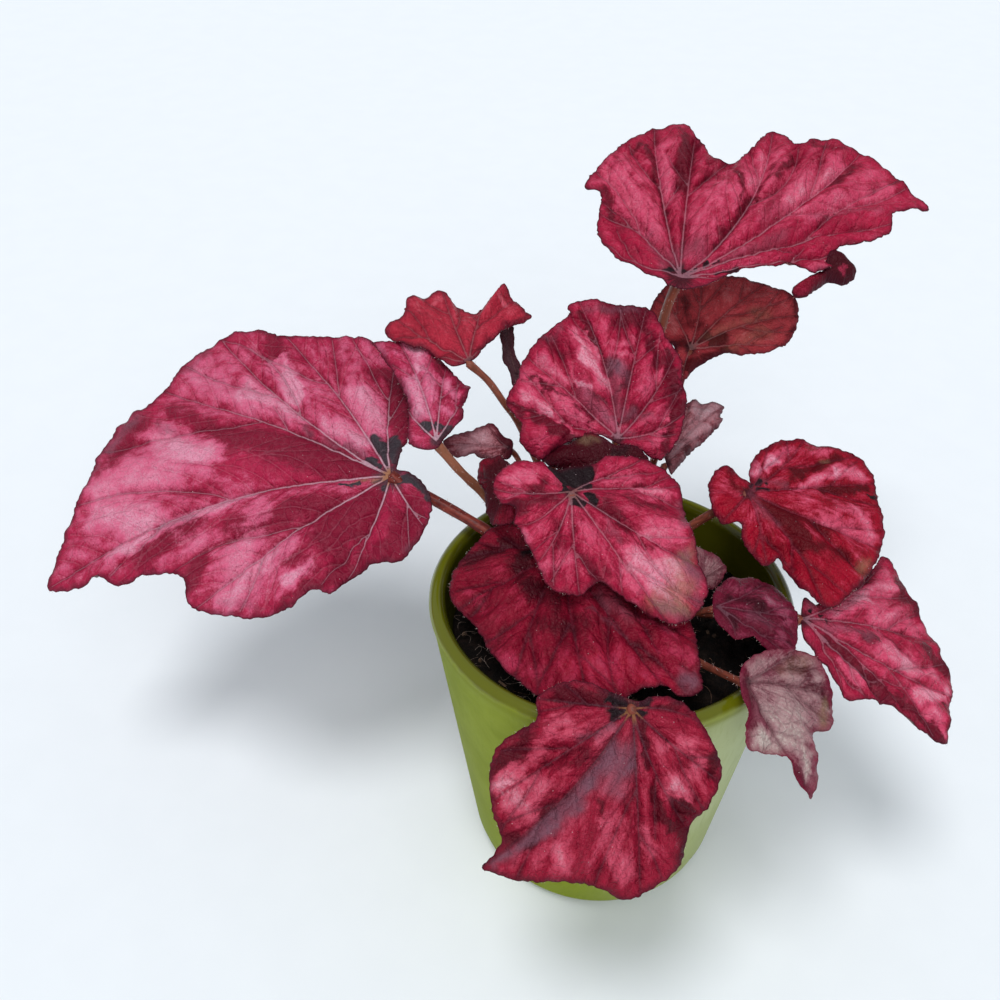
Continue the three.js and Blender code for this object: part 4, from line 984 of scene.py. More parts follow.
def polar(points):
    """Flat places, with their height if it is given, from angles and reaches."""
    p = np.asarray(points, dtype=float)
    a = np.radians(p[:, 0])
    lift = p[:, 2] if p.shape[1] > 2 else np.zeros(len(p))
    return np.stack([p[:, 1] * np.cos(a), p[:, 1] * np.sin(a), lift], axis=1)


def hermite(a, b, slope_a, slope_b, t):
    """The curve from a to b that leaves and arrives with those slopes."""
    t = t[:, None]
    return (
        a * (2 * t**3 - 3 * t**2 + 1) + b * (3 * t**2 - 2 * t**3)
        + slope_a * (t**3 - 2 * t**2 + t) + slope_b * (t**3 - t**2)
    )


def closed_curve(points, per_gap):
    """Points along a closed curve through the given ones, with a corner where it turns sharply."""
    t = np.arange(per_gap) / per_gap
    turn = lambda k: np.roll(points, -k, axis=0)
    before, after = points - turn(-1), turn(1) - points
    lengths = np.linalg.norm(before, axis=1) * np.linalg.norm(after, axis=1)
    straight = (before * after).sum(1) / (lengths + 1e-9)
    slopes = (turn(1) - turn(-1)) / 2 * np.clip(straight * 1.3 + 0.7, 0.15, 1)[:, None]
    ends = zip(points, turn(1), slopes, np.roll(slopes, -1, axis=0))
    return np.concatenate([hermite(a, b, slope_a, slope_b, t) for a, b, slope_a, slope_b in ends])


def open_curve(points, per_gap):
    """Points along an open curve through the given ones, evenly paced however they lie."""
    p = np.asarray(points, dtype=float)
    p = np.concatenate([[2 * p[0] - p[1]], p, [2 * p[-1] - p[-2]]])
    gap = np.sqrt(np.linalg.norm(np.diff(p, axis=0), axis=1))
    t = np.arange(per_gap) / per_gap
    runs = []
    for i in range(1, len(p) - 2):
        before, here, after = gap[i - 1], gap[i], gap[i + 1]
        a, b, c, d = p[i - 1 : i + 3]
        slope_b = ((b - a) / before - (c - a) / (before + here) + (c - b) / here) * here
        slope_c = ((c - b) / here - (d - b) / (here + after) + (d - c) / after) * here
        runs.append(hermite(b, c, slope_b, slope_c, t))
    return np.concatenate(runs + [p[-2:-1]])


def run_of(line):
    """How far along a line each of its points lies."""
    return np.concatenate([[0], np.cumsum(np.linalg.norm(np.diff(line, axis=0), axis=1))])


def evenly(points, spacing, closed=False):
    """The same line with its points evenly spaced, on the flat if it is closed."""
    p = np.concatenate([points, points[:1]]) if closed else points
    run = run_of(p[:, :2] if closed else p)
    count = max(3, int(round(run[-1] / spacing)))
    s = np.linspace(0, run[-1], count + 1)[: count if closed else count + 1]
    return np.stack([np.interp(s, run, p[:, k]) for k in range(p.shape[1])], axis=1)


def distance_to(lines, xy):
    """How far each point lies from the nearest line, and which line and share of it that is."""
    best = np.full(len(xy), 1e9)
    which = np.zeros(len(xy), dtype=int)
    share = np.zeros(len(xy))
    for k, line in enumerate(lines):
        count = len(line) - 1
        for i in range(count):
            a, ab = line[i], line[i + 1] - line[i]
            f = np.clip(((xy - a) @ ab) / max(ab @ ab, 1e-12), 0, 1)
            d = np.hypot(xy[:, 0] - a[0] - f * ab[0], xy[:, 1] - a[1] - f * ab[1])
            closer = d < best
            best[closer], which[closer] = d[closer], k
            share[closer] = (i + f[closer]) / count
    return best, which, share


def margin_distance(margin, xy):
    best = np.empty(len(xy))
    a = margin[:, :2]
    ab = np.roll(a, -1, axis=0) - a
    length = np.maximum((ab * ab).sum(1), 1e-12)
    for start in range(0, len(xy), BATCH):
        p = xy[start : start + BATCH, None, :] - a[None]
        f = np.clip((p * ab).sum(2) / length, 0, 1)
        away = np.hypot(p[..., 0] - f * ab[:, 0], p[..., 1] - f * ab[:, 1])
        best[start : start + BATCH] = away.min(1)
    return best


def inside(margin, xy):
    within = np.zeros(len(xy), dtype=bool)
    a = margin[:, :2]
    b = np.roll(a, -1, axis=0)
    slope = (b[:, 0] - a[:, 0]) / (b[:, 1] - a[:, 1] + 1e-12)
    for start in range(0, len(xy), BATCH):
        some = xy[start : start + BATCH]
        x, y = some[:, :1], some[:, 1:]
        crosses = (a[:, 1] > y) != (b[:, 1] > y)
        left_of = x < a[:, 0] + (y - a[:, 1]) * slope
        within[start : start + BATCH] = (crosses & left_of).sum(1) % 2
    return within


class Chart:
    """A map of the blade at one cell a millimetre: room to the margin, and to each main vein."""

    def __init__(self, margin, mains):
        self.low = margin[:, :2].min(0) - 2
        size = (margin[:, :2].max(0) + 2 - self.low).astype(int) + 1
        spots = np.stack(np.meshgrid(np.arange(size[0]), np.arange(size[1]), indexing="ij"), -1)
        xy = spots.reshape(-1, 2) + self.low
        room = margin_distance(margin, xy) * np.where(inside(margin, xy), 1, -1)
        self.room = room.reshape(size)
        self.mains = [distance_to([line], xy)[0].reshape(size) for line in mains]

    def at(self, field, p):
        spot = np.clip((p - self.low + 0.5).astype(int), 0, np.array(field.shape) - 1)
        return field[spot[..., 0], spot[..., 1]]


def waves(seed, lengths):
    """A smooth random wave in one or two directions, about -1 to 1."""
    chance = np.random.default_rng(seed)
    parts = [
        (2 * np.pi / length, chance.uniform(0, 2 * np.pi), chance.uniform(0, 2 * np.pi))
        for length in lengths for _ in range(3)
    ]

    def at(x, y=None):
        total = 0
        for k, (rate, way, start) in enumerate(parts):
            run = x if y is None else x * np.cos(way) + y * np.sin(way)
            total = total + np.sin(run * rate * (0.8 + 0.15 * (k % 3)) + start)
        return total / len(parts) * 1.6

    return at


def circle(segments):
    return np.arange(segments) * 2 * np.pi / segments


def level_ring(radius, z, a):
    return np.column_stack([radius * np.cos(a), radius * np.sin(a), np.full(len(a), z)])


def capped(rings, start, end):
    """Points and faces of a closed skin over rings of points, with a pole at either end."""
    n, last = len(rings[0]), (len(rings) - 1) * len(rings[0])
    faces = [
        [k + i, k + (i + 1) % n, k + n + (i + 1) % n, k + n + i]
        for k in range(0, last, n) for i in range(n)
    ]
    faces += [[last + n, (i + 1) % n, i] for i in range(n)]
    faces += [[last + n + 1, last + i, last + (i + 1) % n] for i in range(n)]
    return np.concatenate(rings + [[start, end]]), faces


# ---------- leaf blades ----------
def frame_of(leaf):
    """The blade's own axes: along its main vein, across it, and off its plane."""
    heading, pitch, roll = np.radians(leaf["aim"])
    level = math.cos(pitch)
    x = np.array([level * math.cos(heading), level * math.sin(heading), math.sin(pitch)])
    flat = np.array([-math.sin(heading), math.cos(heading), 0.0])
    y = flat * math.cos(roll) + np.cross(x, flat) * math.sin(roll)
    return np.stack([x, y, np.cross(x, y)])


def main_veins(leaf, margin):
    """The main veins as lines on the blade's plane, from the stalk to the margin."""
    made = []
    a = margin[:, :2]
    b = np.roll(a, -1, axis=0)
    for halfway, end in leaf["veins"]:
        c, s = math.cos(math.radians(end)), math.sin(math.radians(end))
        side_a, side_b = a[:, 1] * c - a[:, 0] * s, b[:, 1] * c - b[:, 0] * s
        hit = (side_a * side_b <= 0) & (side_a != side_b)
        f = side_a[hit] / (side_a[hit] - side_b[hit])
        cross = a[hit] + (b[hit] - a[hit]) * f[:, None]
        reach = max(0.0, (cross @ [c, s]).max())
        bend, tip = polar([[halfway, reach / 2], [end, reach]])[:, :2]
        t = np.linspace(0, 1, 25)[:, None]
        made.append(2 * t * (1 - t) * bend + t**2 * tip)
    return made


def branch(mains, chart, chance, k, start, lean, bend, room, crowd, steps):
    """A vein that leaves main vein k at a start along it, until it nears the margin or is
    nearer by far to another main vein."""
    line, run = mains[k], run_of(mains[k])
    i = min(len(line) - 2, max(0, int(np.searchsorted(run, start)) - 1))
    at = np.array([np.interp(start, run, line[:, 0]), np.interp(start, run, line[:, 1])])
    way = math.atan2(*(line[i + 1] - line[i])[::-1]) + math.radians(lean)
    path = [at]
    for _ in range(steps):
        at = at + VEIN_STEP * np.array([math.cos(way), math.sin(way)])
        way += math.radians(bend) + chance.uniform(-0.05, 0.05)
        own = chart.at(chart.mains[k], at)
        others = [chart.at(m, at) for n, m in enumerate(chart.mains) if n != k]
        if chart.at(chart.room, at) < room or (others and min(others) < own * crowd):
            break
        path.append(at)
    return np.array(path)


def fork_veins(mains, chart, chance):
    """Each longer main vein forks once on either side, at a narrow angle."""
    made = []
    for k, line in enumerate(mains):
        length = run_of(line)[-1]
        for side, share in ((-1, chance.uniform(0.42, 0.55)), (1, chance.uniform(0.55, 0.68))):
            if length > 24:
                lean, bend = side * chance.uniform(26, 36), -side * chance.uniform(0.2, 0.9)
                path = branch(mains, chart, chance, k, length * share, lean, bend, 0.9, 0.45, 60)
                if len(path) > 5:
                    made.append(path)
    return made


def side_veins(mains, chart, chance, spacing=9.0):
    """Veins that leave the main ones on both sides and stop short of the margin or half way
    to the next main vein."""
    made = []
    for k, line in enumerate(mains):
        length = run_of(line)[-1]
        if length < 14:
            continue
        starts = np.arange(max(5.0, length * 0.12), length - 3, spacing)
        for side in (-1, 1):
            shift = spacing / 2 if side > 0 else 0
            for start in starts + shift + chance.uniform(-1.5, 1.5, len(starts)):
                lean, bend = side * chance.uniform(42, 54), -side * chance.uniform(0.8, 2.2)
                if start < length - 3:
                    path = branch(mains, chart, chance, k, start, lean, bend, 1.6, 0.9, 30)
                    if len(path) > 2:
                        made.append(path)
    return made


def blade_surface(leaf, index, margin, mains, forks, sides, xy, on_margin):
    """Height of the blade over its plane, and what its materials need to know."""
    middle = polar([leaf["hub"]])[0]
    hub, hub_lift = middle[:2], middle[2]
    spoke = margin[:, :2] - hub
    turn = np.unwrap(np.arctan2(spoke[:, 1], spoke[:, 0]))
    turn = np.maximum.accumulate(turn + np.arange(len(turn)) * 1e-9)
    reach = np.hypot(spoke[:, 0], spoke[:, 1])
    rel = xy - hub
    angle = np.arctan2(rel[:, 1], rel[:, 0])
    angle = turn[0] + np.mod(angle - turn[0], 2 * np.pi)
    around = np.append(turn, turn[0] + 2 * np.pi)
    edge_reach = np.interp(angle, around, np.append(reach, reach[0]))
    edge_lift = np.interp(angle, around, np.append(margin[:, 2], margin[0, 2]))
    t = np.clip(np.hypot(rel[:, 0], rel[:, 1]) / edge_reach, 0, 1)
    t[on_margin >= 0] = 1
    edge_lift[on_margin >= 0] = margin[on_margin[on_margin >= 0], 2]

    main, which, share = distance_to(mains + forks, xy)
    share = np.where(which < len(mains), share, 0.78 + 0.22 * share)
    side = distance_to(sides, xy)[0] if sides else np.full(len(xy), 20.0)
    edge = margin_distance(margin, xy)
    edge[on_margin >= 0] = 0
    stem = np.hypot(xy[:, 0], xy[:, 1])
    size = reach.max()
    pleat = leaf.get("pleat", 1.0) * min(1.0, len(leaf["outline"]) / CROWDED)
    near = np.minimum(1, stem / RELIEF_START)
    groove = np.exp(-main / GROOVE_WIDTH)
    z = hub_lift + (edge_lift - hub_lift) * t**LIFT_POWER
    z += pleat * near * (RISE * (1 - groove) * (1 - t**4) - GROOVE * groove * (1 - t**12))
    z += PUCKER * (1 - np.exp(-side / PUCKER_WIDTH)) * (1 - t**6) * near
    rough = near * (0.4 + 0.6 * t)
    z += rough * (SWELL * waves(SEEDS["swell"] + index, (11, 7))(xy[:, 0], xy[:, 1]))
    z += rough * (DIMPLE * waves(SEEDS["dimple"] + index, (4.5, 3))(xy[:, 0], xy[:, 1])) * (1 - t**6)
    width = 0.45 * (1 - 0.6 * share) * (0.75 + size / 300)
    return z, dict(main=main, side=side, width=width, edge=edge, stem=stem, size=size, t=t)


def panels(mains, xy):
    """How many main veins lie clockwise of each point, as seen from the stalk."""
    reach, angle = np.hypot(xy[:, 0], xy[:, 1]), np.arctan2(xy[:, 1], xy[:, 0])
    count = np.zeros(len(xy), dtype=int)
    for line in mains:
        run = np.hypot(line[1:, 0], line[1:, 1])
        count += angle > np.interp(reach, run, np.unwrap(np.arctan2(line[1:, 1], line[1:, 0])))
    return count


def strokes(leaf, key, mains, xy):
    """How much of the leaf's strokes of that tone lies on each point. A stroke
    fades where it crosses a main vein."""
    total = np.zeros(len(xy))
    here = panels(mains, xy)
    x, y = xy[:, 0], xy[:, 1]
    stray = []
    for k in range(2):
        fine = waves(SEEDS["fine_stray"] + k, (3.6, 2.2))(x, y)
        stray.append(STROKE_STRAY * (waves(SEEDS["stray"] + k, (13, 7))(x, y) + 0.45 * fine))
    strayed = xy + np.column_stack(stray)
    for from_angle, from_reach, to_angle, to_reach, width, strength in leaf.get(key, []):
        start, end = polar([[from_angle, from_reach], [to_angle, to_reach]])[:, :2]
        away, _, share = distance_to([np.array([start, end])], strayed)
        there = panels(mains, start + share[:, None] * (end - start))
        held = np.where(here == there, 1.0, STROKE_SPILL)
        total += strength * held * np.exp(-((away / width) ** 2.4))
    return np.clip(total, -1, 1)


def crinkled_margin(leaf, index):
    """The blade's outline as an even line, with its small crinkles and ripples."""
    margin = evenly(closed_curve(polar(leaf["outline"]), 12), MARGIN_STEP, closed=True)
    run = np.arange(len(margin)) * MARGIN_STEP
    ahead = np.roll(margin, -1, axis=0) - np.roll(margin, 1, axis=0)
    out = np.stack([ahead[:, 1], -ahead[:, 0]], axis=1)
    out /= np.linalg.norm(out, axis=1)[:, None] + 1e-9
    ease = np.minimum(1, np.hypot(margin[:, 0], margin[:, 1]) / 12)
    margin[:, :2] += out * (CRINKLE * waves(SEEDS["crinkle"] + index, (2.6, 5))(run) * ease)[:, None]
    margin[:, 2] += RIPPLE * waves(SEEDS["ripple"] + index, (9, 15))(run) * ease
    return margin


def vein_edges(veins, chart):
    """The veins as even lines, each as far as it keeps clear of the margin and the stalk."""
    lines = []
    for line in veins:
        line = evenly(line, CELL)
        clear = (chart.at(chart.room, line) > 1.0) & (np.hypot(line[:, 0], line[:, 1]) > 1.0)
        start = int(np.argmax(clear))
        stop = start + int(np.argmin(np.append(clear[start:], False)))
        if stop - start > 2:
            lines.append(line[start:stop])
    return lines


def filling(margin, lines, chance):
    """Points of an even grid inside the margin, none of them close to it or to a line."""
    low, high = margin[:, :2].min(0), margin[:, :2].max(0)
    rows = np.arange(low[1], high[1], CELL * 0.866)
    grid = np.stack(np.meshgrid(np.arange(low[0], high[0], CELL), rows), axis=-1)
    grid[1::2, :, 0] += CELL / 2
    grid = grid.reshape(-1, 2) + chance.uniform(-0.08, 0.08, (grid.size // 2, 2))
    grid = grid[inside(margin, grid)]
    grid = grid[margin_distance(margin, grid) > CELL * 0.55]
    if not lines:
        return grid
    on_lines = np.concatenate(lines)
    tree = kdtree.KDTree(len(on_lines))
    for i, (x, y) in enumerate(on_lines):
        tree.insert((x, y, 0), i)
    tree.balance()
    return grid[np.array([tree.find((x, y, 0))[2] > CELL * 0.5 for x, y in grid])]


def flat_mesh(margin, lines, grid):
    """The blade's plane as points and triangles that have the lines as edges, and for each
    point its place on the margin, or -1."""
    loop, first = len(margin), len(margin) + len(grid)
    edges = [(i, (i + 1) % loop) for i in range(loop)]
    for line in lines:
        edges += [(i, i + 1) for i in range(first, first + len(line) - 1)]
        first += len(line)
    flat = [Vector(p) for p in np.concatenate([margin[:, :2], grid] + lines).tolist()]
    made = delaunay_2d_cdt(flat, edges, [], 0, 1e-5, True)
    xy, faces = np.array([tuple(v) for v in made[0]]), np.array(made[2])
    faces = faces[inside(margin, xy[faces].mean(1))]
    a, b, c = xy[faces[:, 0]], xy[faces[:, 1]], xy[faces[:, 2]]
    clockwise = np.cross(b - a, c - a) < 0
    faces[clockwise] = faces[clockwise][:, ::-1]
    on_margin = np.array([min([i for i in ids if i < loop], default=-1) for ids in made[3]])
    return xy, faces, on_margin


def blade(leaf, index):
    """A blade as a closed sheet, thinner at its margin, its veins grooves above, ridges below."""
    chance = np.random.default_rng(SEEDS["veins"] + index)
    margin = crinkled_margin(leaf, index)
    mains = main_veins(leaf, margin)
    chart = Chart(margin, mains)
    forks = fork_veins(mains, chart, chance)
    sides = side_veins(mains, chart, chance)
    # The veins are edges of the mesh, so that their lines stay fine and unbroken.
    lines = vein_edges(mains + [path[1:] for path in forks + sides], chart)
    xy, faces, on_margin = flat_mesh(margin, lines, filling(margin, lines, chance))
    z, facts = blade_surface(leaf, index, margin, mains, forks, sides, xy, on_margin)

    thick = BLADE_EDGE + BLADE_BODY * (1 - np.exp(-facts["edge"] / 1.5))
    ridge = MAIN_RIDGE * np.exp(-((facts["main"] / 0.9) ** 2))
    ridge = (ridge + SIDE_RIDGE * np.exp(-((facts["side"] / 0.6) ** 2))) * (1 - facts["t"] ** 8)
    top = np.column_stack([xy, z + thick / 2])
    under = np.column_stack([xy, z - thick / 2 - ridge])
    count = len(xy)
    places = {m: i for i, m in enumerate(on_margin.tolist()) if m >= 0}
    kept = [places[m] for m in sorted(places)]
    rim = [[i, i + count, j + count, j] for i, j in zip(kept, kept[1:] + kept[:1])]
    tris = faces.tolist() + (faces[:, ::-1] + count).tolist() + rim
    skin = [0] * len(faces) + [1] * len(faces) + [0] * len(rim)
    points = np.concatenate([top, under]) @ frame_of(leaf) + np.array(leaf["at"])
    hemmed.append((points, rim))
    done = piece(leaf["name"] + "_blade", points, tris, [SKINS[leaf["skin"]], LEAF_BACK], skin)
    for name, columns in (
        ("flat", (xy[:, 0], xy[:, 1], 50.0 * index)),
        ("veins", (facts["main"], facts["side"], facts["width"])),
        ("reach", (facts["edge"], facts["stem"], facts["size"])),
        # tone: the silver, deep and dusk strokes; the silver and deep ones are partly painted light and
        # painted shade.
        ("tone", [strokes(leaf, key, mains, xy) for key in ("silver", "deep", "dusk")]),
        ("mark", [strokes(leaf, key, mains, xy) for key in ("heart", "tan")]
         + [leaf.get("tan_hub", 0.0)]),
    ):
        values = np.column_stack([np.broadcast_to(column, count) for column in columns])
        note(done, name, np.tile(values, (2, 1)))
    return done


# ---------- leaf stalks ----------
def tube(path, radii, tip):
    """A closed, faintly ridged tube along a path, its end drawn out by a share of its radius."""
    way = np.gradient(path, axis=0)
    way /= np.linalg.norm(way, axis=1)[:, None]
    normal = np.cross(way[0], [0.3, 0.9, 0.1])
    a = circle(STALK_SIDES)
    rings = []
    for at, along, radius in zip(path, way, radii):
        normal = normal - along * (normal @ along)
        normal /= np.linalg.norm(normal)
        ridged = radius * (1 + 0.05 * np.cos(5 * a))
        out = np.outer(ridged * np.cos(a), normal)
        rings.append(at + out + np.outer(ridged * np.sin(a), np.cross(along, normal)))
    return capped(rings, path[0], path[-1] + way[-1] * radii[-1] * tip)


def stalk(leaf, index):
    """A leaf's stalk, from its foot in the crown to just inside its blade."""
    ring, compass = leaf["foot"]
    a = math.radians(compass)
    foot = np.array([CROWN["x"] + ring * math.cos(a), CROWN["y"] + ring * math.sin(a), FOOT_HEIGHT])
    sunk = SUNK if leaf.get("tan_hub") else SUNK + 1.1 * leaf["radius"] * STALK_TOP
    top = np.array(leaf["at"], dtype=float) - frame_of(leaf)[2] * sunk
    route = [foot, foot + [0, 0, 4]] + [np.array(p, dtype=float) for p in leaf["via"]] + [top]
    path = evenly(open_curve(route, 16), STALK_STEP)
    share = np.linspace(0, 1, len(path))
    knuckle = KNUCKLE * np.exp(-((1 - share) / 0.05) ** 2)
    uneven = 0.05 * waves(SEEDS["stalk"] + index, (8, 17))(share * STALK_RUN)
    radius = leaf["radius"] * (1 - (1 - STALK_TOP) * share)
    points, faces = tube(path, radius * (1 + knuckle + uneven), leaf.get("tip", 1.15))
    done = piece(leaf["name"] + "_stalk", points, faces, [STALK])
    furred.append((points, faces))
    along = np.append(np.repeat(share * STALK_RUN, STALK_SIDES), [0, STALK_RUN])
    around = np.tile(np.abs(np.linspace(-1, 1, STALK_SIDES, endpoint=False)), len(path))
    light = np.full(len(points), leaf.get("stalk_light", 0.25))
    note(done, "stalk", np.column_stack([along + 100 * index, np.append(around, [0, 0]), light]))
    return done


# ---------- pot ----------
def arc(cx, cz, radius, start, end, steps):
    """Points of an arc of the pot's profile, from a start to an end angle."""
    a = np.radians(np.linspace(start, end, steps))
    return [[cx + radius * math.cos(b), cz + radius * math.sin(b)] for b in a]


def wall_radius(z):
    return POT["foot"] + (POT["rim"] - POT["foot"]) * z / POT["height"]


def make_pot():
    lip, foot_round, corner = POT["wall"] / 2, POT["foot_round"], 8
    height, foot, floor, wall = POT["height"], POT["foot"], POT["floor"], POT["wall"]
    profile = [[foot * 0.5, 0]]
    profile += arc(foot - foot_round, foot_round, foot_round, -90, 0, 14)
    profile += [[wall_radius(z), z] for z in np.linspace(10, height - lip - 4, 24)]
    profile += arc(POT["rim"] - lip, height - lip, lip, 0, 180, 22)
    profile += [[wall_radius(z) - wall, z] for z in np.linspace(height - 8, floor + 12, 14)]
    profile += arc(wall_radius(floor) - wall - corner, floor + corner, corner, 0, -90, 8)
    rings = [level_ring(radius, z, circle(160)) for radius, z in profile]
    done = piece("glazed_pot", *capped(rings, [0, 0, 0], [0, 0, floor]), [GLAZE])
    belongs(done, "pot_glaze", "pot")


# ---------- soil and crown ----------
def soil_level(x, y):
    """The soil's swells, up to 1.6 either way, the same as in the part's source."""
    return np.sin(0.31 * x + 0.7) * np.sin(0.27 * y + 1.9) + 0.6 * np.sin(0.11 * x - 0.17 * y)


def make_soil():
    inner = lambda z: wall_radius(z) - POT["wall"] - 0.3
    rough = waves(SEEDS["soil"], (9, 5, 3))
    a, count = circle(220), 62
    low = POT["floor"] + 0.4
    rings = [level_ring(inner(20) * 0.7, low, a), level_ring(inner(31) - 2, 31, a)]
    for k in range(count):
        t = 1 - k / count
        r = inner(SOIL_TOP) * t
        x, y = r * np.cos(a), r * np.sin(a)
        z = SOIL_TOP - 1.5 * t**6 + SOIL_WAVE * soil_level(x, y) + 0.8 * rough(x, y) * (1 - t**8)
        rings.append(np.column_stack([x, y, z]))
    middle = [0, 0, SOIL_TOP + SOIL_WAVE * soil_level(0, 0)]
    done = piece("peat_soil", *capped(rings, [0, 0, low], middle), [PEAT])
    belongs(done, "soil", "soil")


def make_crown():
    rough = waves(SEEDS["crown"], (6, 3.5))
    a, count = circle(90), 40
    middle, radius = (CROWN["x"], CROWN["y"]), CROWN["radius"]
    rings = []
    for k in range(1, count):
        up = math.radians(-90 + 180 * k / count)
        above = up > 0
        knob = 1 + 0.05 * np.sin(5 * a + 1) * math.cos(up)
        flat = min(1.0, 1.25 * math.cos(up))
        x = middle[0] + radius * knob * flat * np.cos(a)
        y = middle[1] + radius * 0.95 * knob * flat * np.sin(a)
        z = SOIL_TOP + (CROWN["height"] if above else CROWN["depth"]) * math.sin(up)
        lump = 0.5 * rough(x, y) * above
        rings.append(np.column_stack([x, y, z + lump * np.ones(len(a))]))
    ends = [*middle, SOIL_TOP - CROWN["depth"]], [*middle, SOIL_TOP + CROWN["height"]]
    done = piece("rhizome_crown", *capped(rings, *ends), [CROWN_SKIN])
    belongs(done, "rhizome", "rhizome")


# ---------- hairs, crumbs and fibres ----------
def scatter_tree(name, build_item, skin):
    """Copies of an item, turned and sized at random, on the faces of a base mesh."""
    tree = bpy.data.node_groups.new(name, "GeometryNodeTree")
    tree.interface.new_socket("Base", in_out="INPUT", socket_type="NodeSocketGeometry")
    tree.interface.new_socket("Made", in_out="OUTPUT", socket_type="NodeSocketGeometry")
    sockets = {}
    for label in ("Density", "Smallest", "Largest", "Lean", "Seed"):
        kind = "NodeSocketInt" if label == "Seed" else "NodeSocketFloat"
        made = tree.interface.new_socket(label, in_out="INPUT", socket_type=kind)
        sockets[label] = made.identifier
    w = Wiring(tree)
    given = tree.nodes.new("NodeGroupInput").outputs
    density, smallest, largest, lean, seed = (given[label] for label in sockets)
    spread = w.add(
        "GeometryNodeDistributePointsOnFaces", Mesh=given["Base"], Density=density, Seed=seed
    )
    back = w.times(lean, -1.0)

    def between(low, high):
        made = w.add("FunctionNodeRandomValue", dict(data_type="FLOAT_VECTOR"), Seed=seed)
        return w.in_order(made, (low, high))

    turn = between(w.combine(back, back, 0.0), w.combine(lean, lean, 2 * math.pi))
    size = between(*(w.combine(end, end, end) for end in (smallest, largest)))
    turned = w.add("FunctionNodeEulerToRotation", Euler=turn).outputs[0]
    aimed = w.add("FunctionNodeRotateRotation", dict(rotation_space="LOCAL"))
    copies = w.add(
        "GeometryNodeInstanceOnPoints", Points=spread.outputs["Points"], Instance=build_item(w),
        Rotation=w.in_order(aimed, (spread.outputs["Rotation"], turned)), Scale=size,
    )
    plain = w.add("GeometryNodeRealizeInstances", Geometry=copies.outputs[0])
    done = w.add("GeometryNodeSetMaterial", Geometry=plain.outputs[0], Material=skin)
    w.give(tree.nodes.new("NodeGroupOutput"), Made=done.outputs[0])
    return tree, sockets


def hair(w):
    return w.add(
        "GeometryNodeMeshCone",
        Vertices=3, Side_Segments=2, Radius_Top=0.00001, Radius_Bottom=THREAD, Depth=0.001,
    ).outputs[0]


def crumb(w):
    return w.add("GeometryNodeMeshIcoSphere", Radius=0.001, Subdivisions=1).outputs[0]


def chip(w):
    return w.add("GeometryNodeMeshCylinder", Vertices=6, Radius=0.001, Depth=0.0007).outputs[0]


def fibre(w):
    """A bent thread that lies along the surface."""
    bow = w.add(
        "GeometryNodeCurveQuadraticBezier", Resolution=7, Start=(-0.0035, 0, 0.0004),
        Middle=(0, 0.004, 0.0022), End=(0.0035, 0, 0.0003),
    )
    ring = w.add("GeometryNodeCurvePrimitiveCircle", Resolution=3, Radius=THREAD)
    return w.add(
        "GeometryNodeCurveToMesh",
        Curve=bow.outputs[0], Profile_Curve=ring.outputs[0], Fill_Caps=True,
    ).outputs[0]


def scattered(name, build_item, skin, base, slot, *values):
    """Scatter an item over a base of points and faces, as one plain mesh. The values are its
    number per square metre, its smallest and largest size, its lean in radians and the seed."""
    tree, sockets = scatter_tree(name, build_item, skin)
    base = piece(name + "_base", *base, [skin])
    modifier = base.modifiers.new(name, "NODES")
    modifier.node_group = tree
    for identifier, value in zip(sockets.values(), values):
        modifier[identifier] = value
    bpy.context.view_layer.update()
    graph = bpy.context.evaluated_depsgraph_get()
    mesh = bpy.data.meshes.new_from_object(base.evaluated_get(graph), depsgraph=graph)
    base.modifiers.remove(modifier)
    bpy.data.objects.remove(base)
    made = linked(name, mesh)
    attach(made, "root")


def joined(parts):
    """One list of points and one of faces from several pairs of them."""
    points, faces, first = [], [], 0
    for some, those in parts:
        points.append(np.asarray(some))
        faces += [[first + i for i in face] for face in those]
        first += len(some)
    return np.concatenate(points), faces


def soil_patch(inner, outer, start, end, steps=24):
    """A patch of the soil's surface between two radii and two compass angles."""
    a = np.radians(np.linspace(start, end, steps))
    rows = []
    for r in np.linspace(inner, outer, 5):
        x, y = r * np.cos(a), r * np.sin(a)
        rows.append(np.column_stack([x, y, SOIL_TOP + SOIL_WAVE * soil_level(x, y) - 0.4]))
    faces = [
        [k * steps + i, (k + 1) * steps + i, (k + 1) * steps + i + 1, k * steps + i + 1]
        for k in range(4) for i in range(steps - 1)
    ]
    return np.concatenate(rows), faces


def make_litter():
    """Crumbs, bark and fibres on the soil, and the pale fine roots along its left side."""
    reach = wall_radius(SOIL_TOP) - POT["wall"] - 2.5
    whole, left = soil_patch(8, reach, 0, 360, 90), soil_patch(reach - 16, reach, 165, 262)
    for name, build_item, skin, base, *values in (
        ("peat_crumbs", crumb, PEAT, whole, 75000.0, 0.35, 1.15, 3.0, SEEDS["crumbs"]),
        ("bark_chips", chip, BARK, whole, 4500.0, 0.6, 2.2, 1.2, SEEDS["chips"]),
        ("peat_fibres", fibre, FELT, whole, 9000.0, 0.5, 1.5, 0.5, SEEDS["fibres"]),
        ("fine_roots", fibre, ROOT, left, 52000.0, 0.35, 1.3, 0.7, SEEDS["roots"]),
    ):
        scattered(name, build_item, skin, base, "soil", *values)


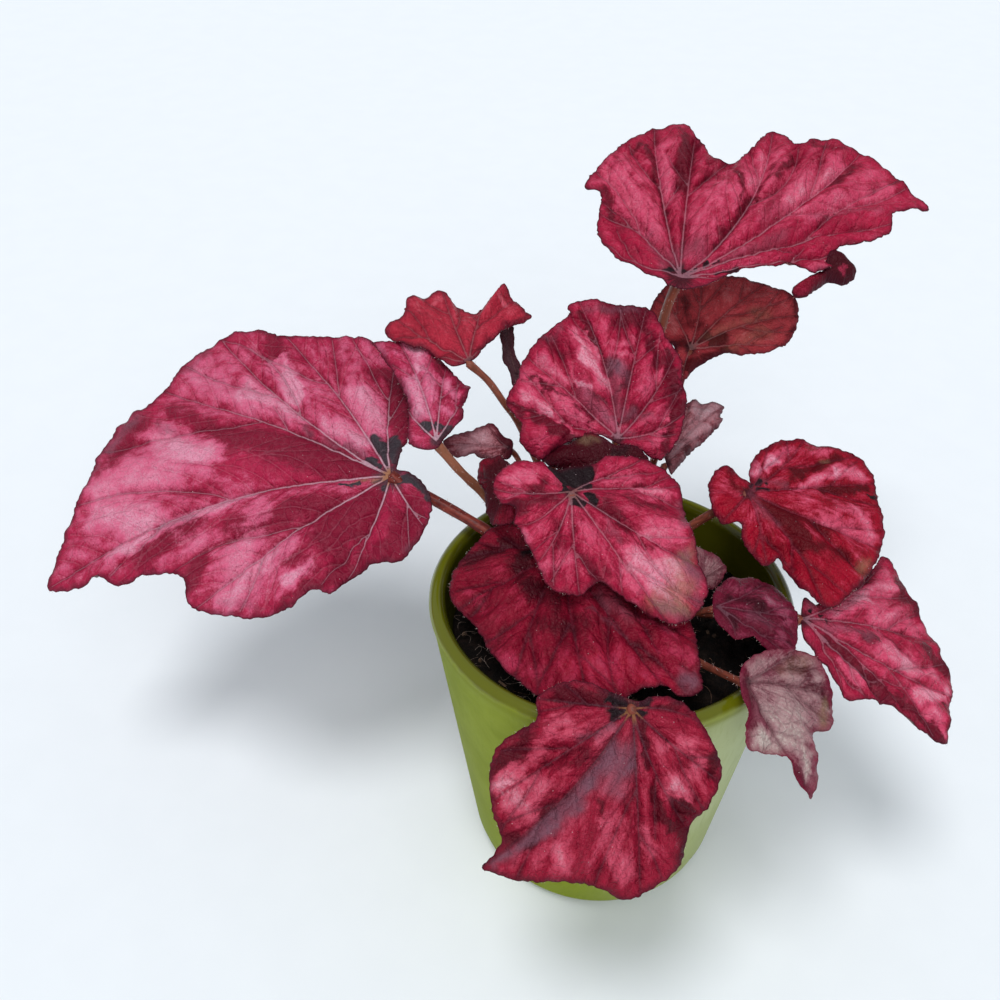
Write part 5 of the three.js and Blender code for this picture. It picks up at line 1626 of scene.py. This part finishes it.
# ---------- scene ----------
def camera():
    """The photograph's own view: 1200 pixels of focal length on a 1000-pixel frame."""
    down, roll = math.radians(CAMERA["down"]), math.radians(CAMERA["roll"])
    look = Vector((0, math.cos(down), -math.sin(down)))
    right = Vector((1, 0, 0))
    up = right.cross(look)
    turned_right = right * math.cos(roll) + up * math.sin(roll)
    turned_up = up * math.cos(roll) - right * math.sin(roll)
    data = bpy.data.cameras.new("camera")
    data.lens, data.sensor_width = CAMERA["lens"], CAMERA["sensor"]
    data.clip_start, data.clip_end = 0.01, 20
    made = linked("camera", data)
    axes = Matrix([turned_right, turned_up, -look]).transposed()
    made.matrix_world = Matrix.Translation(CAMERA["at"]) @ axes.to_4x4()
    bpy.context.scene.camera = made


def soft_light(name, towards_it, softness, strength):
    """An even light from far off, as wide in the sky as softness in degrees."""
    data = bpy.data.lights.new(name, "SUN")
    data.angle, data.energy = math.radians(softness), strength
    turn = Vector(towards_it).to_track_quat("Z", "Y").to_euler()
    linked(name, data).rotation_euler = turn


def studio():
    world = bpy.data.worlds.new("studio")
    bpy.context.scene.world = world
    world.use_nodes = True
    sky = world.node_tree.nodes["Background"]
    sky.inputs["Color"].default_value = SKY["colour"]
    sky.inputs["Strength"].default_value = SKY["strength"]
    soft_light("overhead softbox", (-0.18, -0.24, 1.0), 22, 1.46)
    soft_light("front softbox", (0.15, -1.1, 1.0), 40, 1.02)
    floor, w, shader = material("pale floor")
    grain = w.noise(w.position(40.0), 1.0, 2)
    colour = w.blend(w.step(grain, 0.3, 0.7), (0.82, 0.855, 0.895), (0.83, 0.865, 0.905))
    w.give(shader, Base_Color=colour, Roughness=0.9, Specular_IOR_Level=0.1)
    half, level = FLOOR["half"], FLOOR["level"]
    corners = [[x * half, y * half, level] for x, y in ((-1, -1), (1, -1), (1, 1), (-1, 1))]
    made = piece("floor", corners, [[0, 1, 2, 3]], [floor], smooth=False)
    view = bpy.context.scene.view_settings
    view.view_transform, view.look = "Standard", "None"


camera()
studio()
make_pot()
make_soil()
make_crown()
make_litter()
furred, hemmed = [], []
for number, leaf in enumerate(LEAVES):
    belongs(blade(leaf, number), leaf["slot"], "leaf_" + leaf["name"])
    if "curl" in leaf:
        lobe = dict(leaf, **leaf["curl"], name=leaf["name"] + "_curl")
        belongs(blade(lobe, number + 30), leaf["slot"], "leaf_" + leaf["name"])
    belongs(stalk(leaf, number), "stem", "stem_" + leaf["name"])
for name, base, slot, *values in (
    ("stalk_hairs", joined(furred), "stem", 110000.0, 0.5, 1.5, 0.6),
    ("margin_hairs", joined(hemmed), "leaf_crimson", 1000000.0, 0.4, 1.0, 0.7),
):
    scattered(name, hair, HAIR, base, slot, *values, SEEDS[name])
